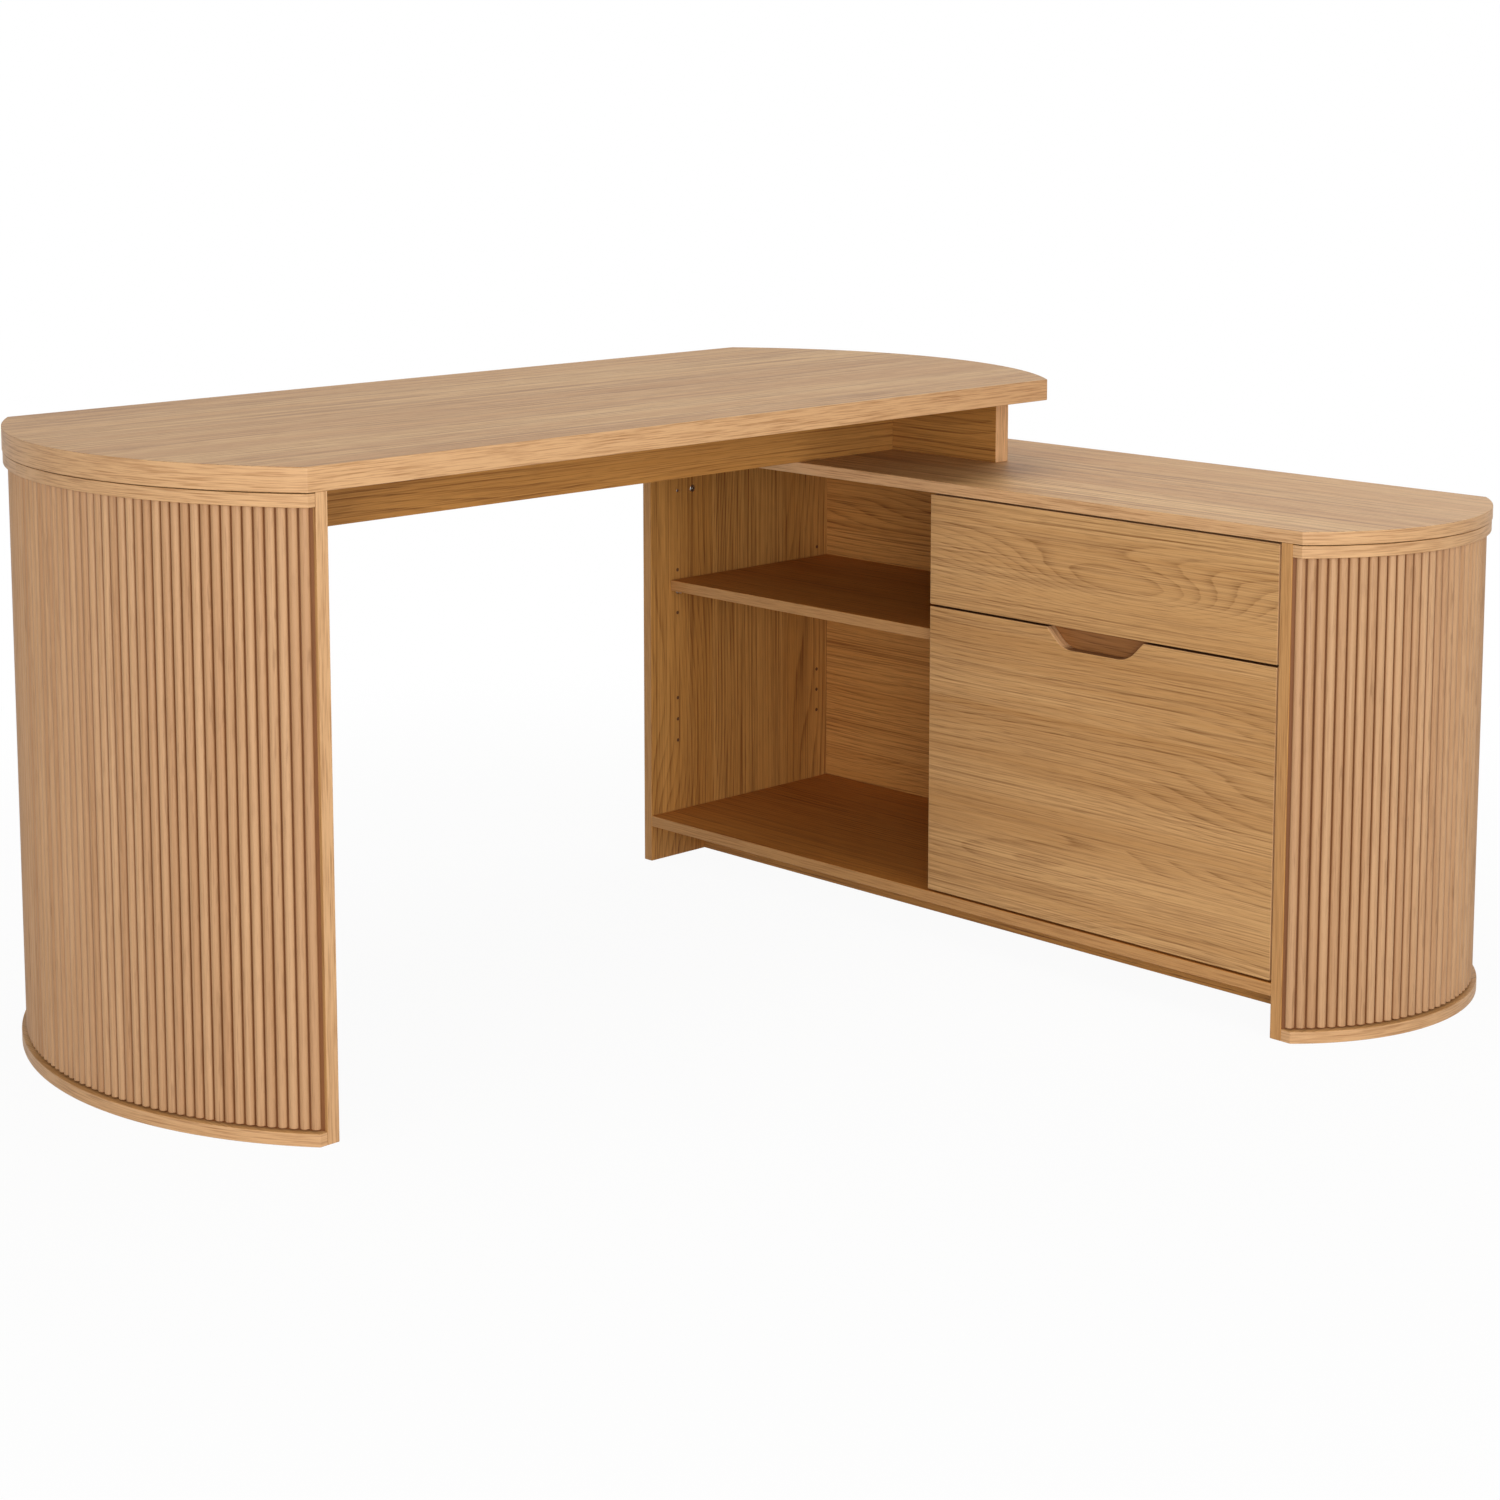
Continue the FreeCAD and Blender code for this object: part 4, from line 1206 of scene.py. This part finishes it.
class DESK_OT_stage(Operator):
    """Builds the floor, the lamps, the sky and the camera"""

    bl_idname = "desk.stage"
    bl_label = "Stage"

    def execute(self, context):
        stage = settings().stage
        scene = context.scene
        scene.view_settings.view_transform = "Standard"
        self.floor(stage)
        self.sky(scene, stage)
        for name, (spot, size) in LAMPS.items():
            self.softbox(scene, name, Vector(spot), size, getattr(stage, name.replace(" ", "_")))
        self.camera(scene, stage)
        return {"FINISHED"}

    def floor(self, stage):
        shape = bmesh.new()
        corners = ((-1, -1), (1, -1), (1, 1), (-1, 1))
        shape.faces.new([shape.verts.new((x * FLOOR_HALF, y * FLOOR_HALF, 0)) for x, y in corners])
        mesh = bpy.data.meshes.new("floor")
        shape.to_mesh(mesh)
        shape.free()
        material, wires, shader = new_material("pale floor")
        wires.feed(shader, {"Base Color": solid(stage.floor), "Roughness": 0.9, "Specular IOR Level": 0.1})
        away = wires.vector("LENGTH", wires.add("ShaderNodeTexCoord").outputs["Object"])
        fade = wires.remap(away, FADE_START, FADE_END, NEAR_GLOW, 1.0, curve="SMOOTHSTEP")
        glow = wires.add("ShaderNodeEmission")
        share = wires.times(fade, seen_rays(wires))
        mixed = wires.add("ShaderNodeMixShader", {0: share, 1: shader.outputs[0], 2: glow.outputs[0]})
        output = material.node_tree.nodes["Material Output"]
        wires.plug(output.inputs["Surface"], mixed.outputs[0])
        show("floor", mesh, material)

    def sky(self, scene, stage):
        world = bpy.data.worlds.new("studio")
        world.use_nodes = True
        scene.world = world
        wires = Wires(world.node_tree)
        strength = wires.remap(seen_rays(wires), 0.0, 1.0, stage.sky, 1.0)
        wires.feed(world.node_tree.nodes["Background"], {"Color": (1, 1, 1, 1), "Strength": strength})

    def softbox(self, scene, name, spot, size, power):
        lamp = bpy.data.lights.new(name, "AREA")
        lamp.shape = "DISK"
        lamp.size = size
        lamp.energy = power
        lamp_object = bpy.data.objects.new(name, lamp)
        lamp_object.location = spot
        lamp_object.rotation_euler = (LAMP_TARGET - spot).to_track_quat("-Z", "Y").to_euler()
        scene.collection.objects.link(lamp_object)

    def camera(self, scene, stage):
        lens = bpy.data.cameras.new("camera")
        lens.sensor_width = SENSOR_WIDTH
        lens.lens = stage.lens
        lens.shift_y = stage.shift
        eye = bpy.data.objects.new("camera", lens)
        eye.location = stage.eye
        eye.rotation_euler = (QUARTER - stage.dip, 0, -stage.heading)
        scene.collection.objects.link(eye)
        scene.camera = eye


PIECES = (
    DESK_OT_writing_top, DESK_OT_leg_and_knee, DESK_OT_cabinet, DESK_OT_round_boards, DESK_OT_slats,
    DESK_OT_drawers, DESK_OT_runners, DESK_OT_fittings, DESK_OT_stage,
)


class DESK_PT_panel(Panel):
    """Lists the desk's pieces and settings"""

    bl_idname = "DESK_PT_panel"
    bl_label = "Corner desk"
    bl_space_type = "VIEW_3D"
    bl_region_type = "UI"
    bl_category = "Desk"

    def draw(self, context):
        for piece in PIECES:
            self.layout.operator(piece.bl_idname)
        for part in ("oak", "edges", "slats", "fittings", "stage"):
            box = self.layout.box()
            box.label(text=part.title())
            group = getattr(context.scene.corner_desk, part)
            for name in group.__annotations__:
                box.prop(group, name)


GROUPS = (
    DeskOakSettings, DeskEdgeSettings, DeskSlatSettings, DeskFittingSettings, DeskStageSettings,
    CornerDeskSettings,
)
CLASSES = (*GROUPS, *PIECES, DESK_PT_panel)


def register():
    for item in CLASSES:
        bpy.utils.register_class(item)
    bpy.types.Scene.corner_desk = PointerProperty(type=CornerDeskSettings)


def unregister():
    del bpy.types.Scene.corner_desk
    for item in reversed(CLASSES):
        bpy.utils.unregister_class(item)


def main():
    register()
    for piece in PIECES:
        family, name = piece.bl_idname.split(".")
        getattr(getattr(bpy.ops, family), name)()


if __name__ == "__main__":
    main()
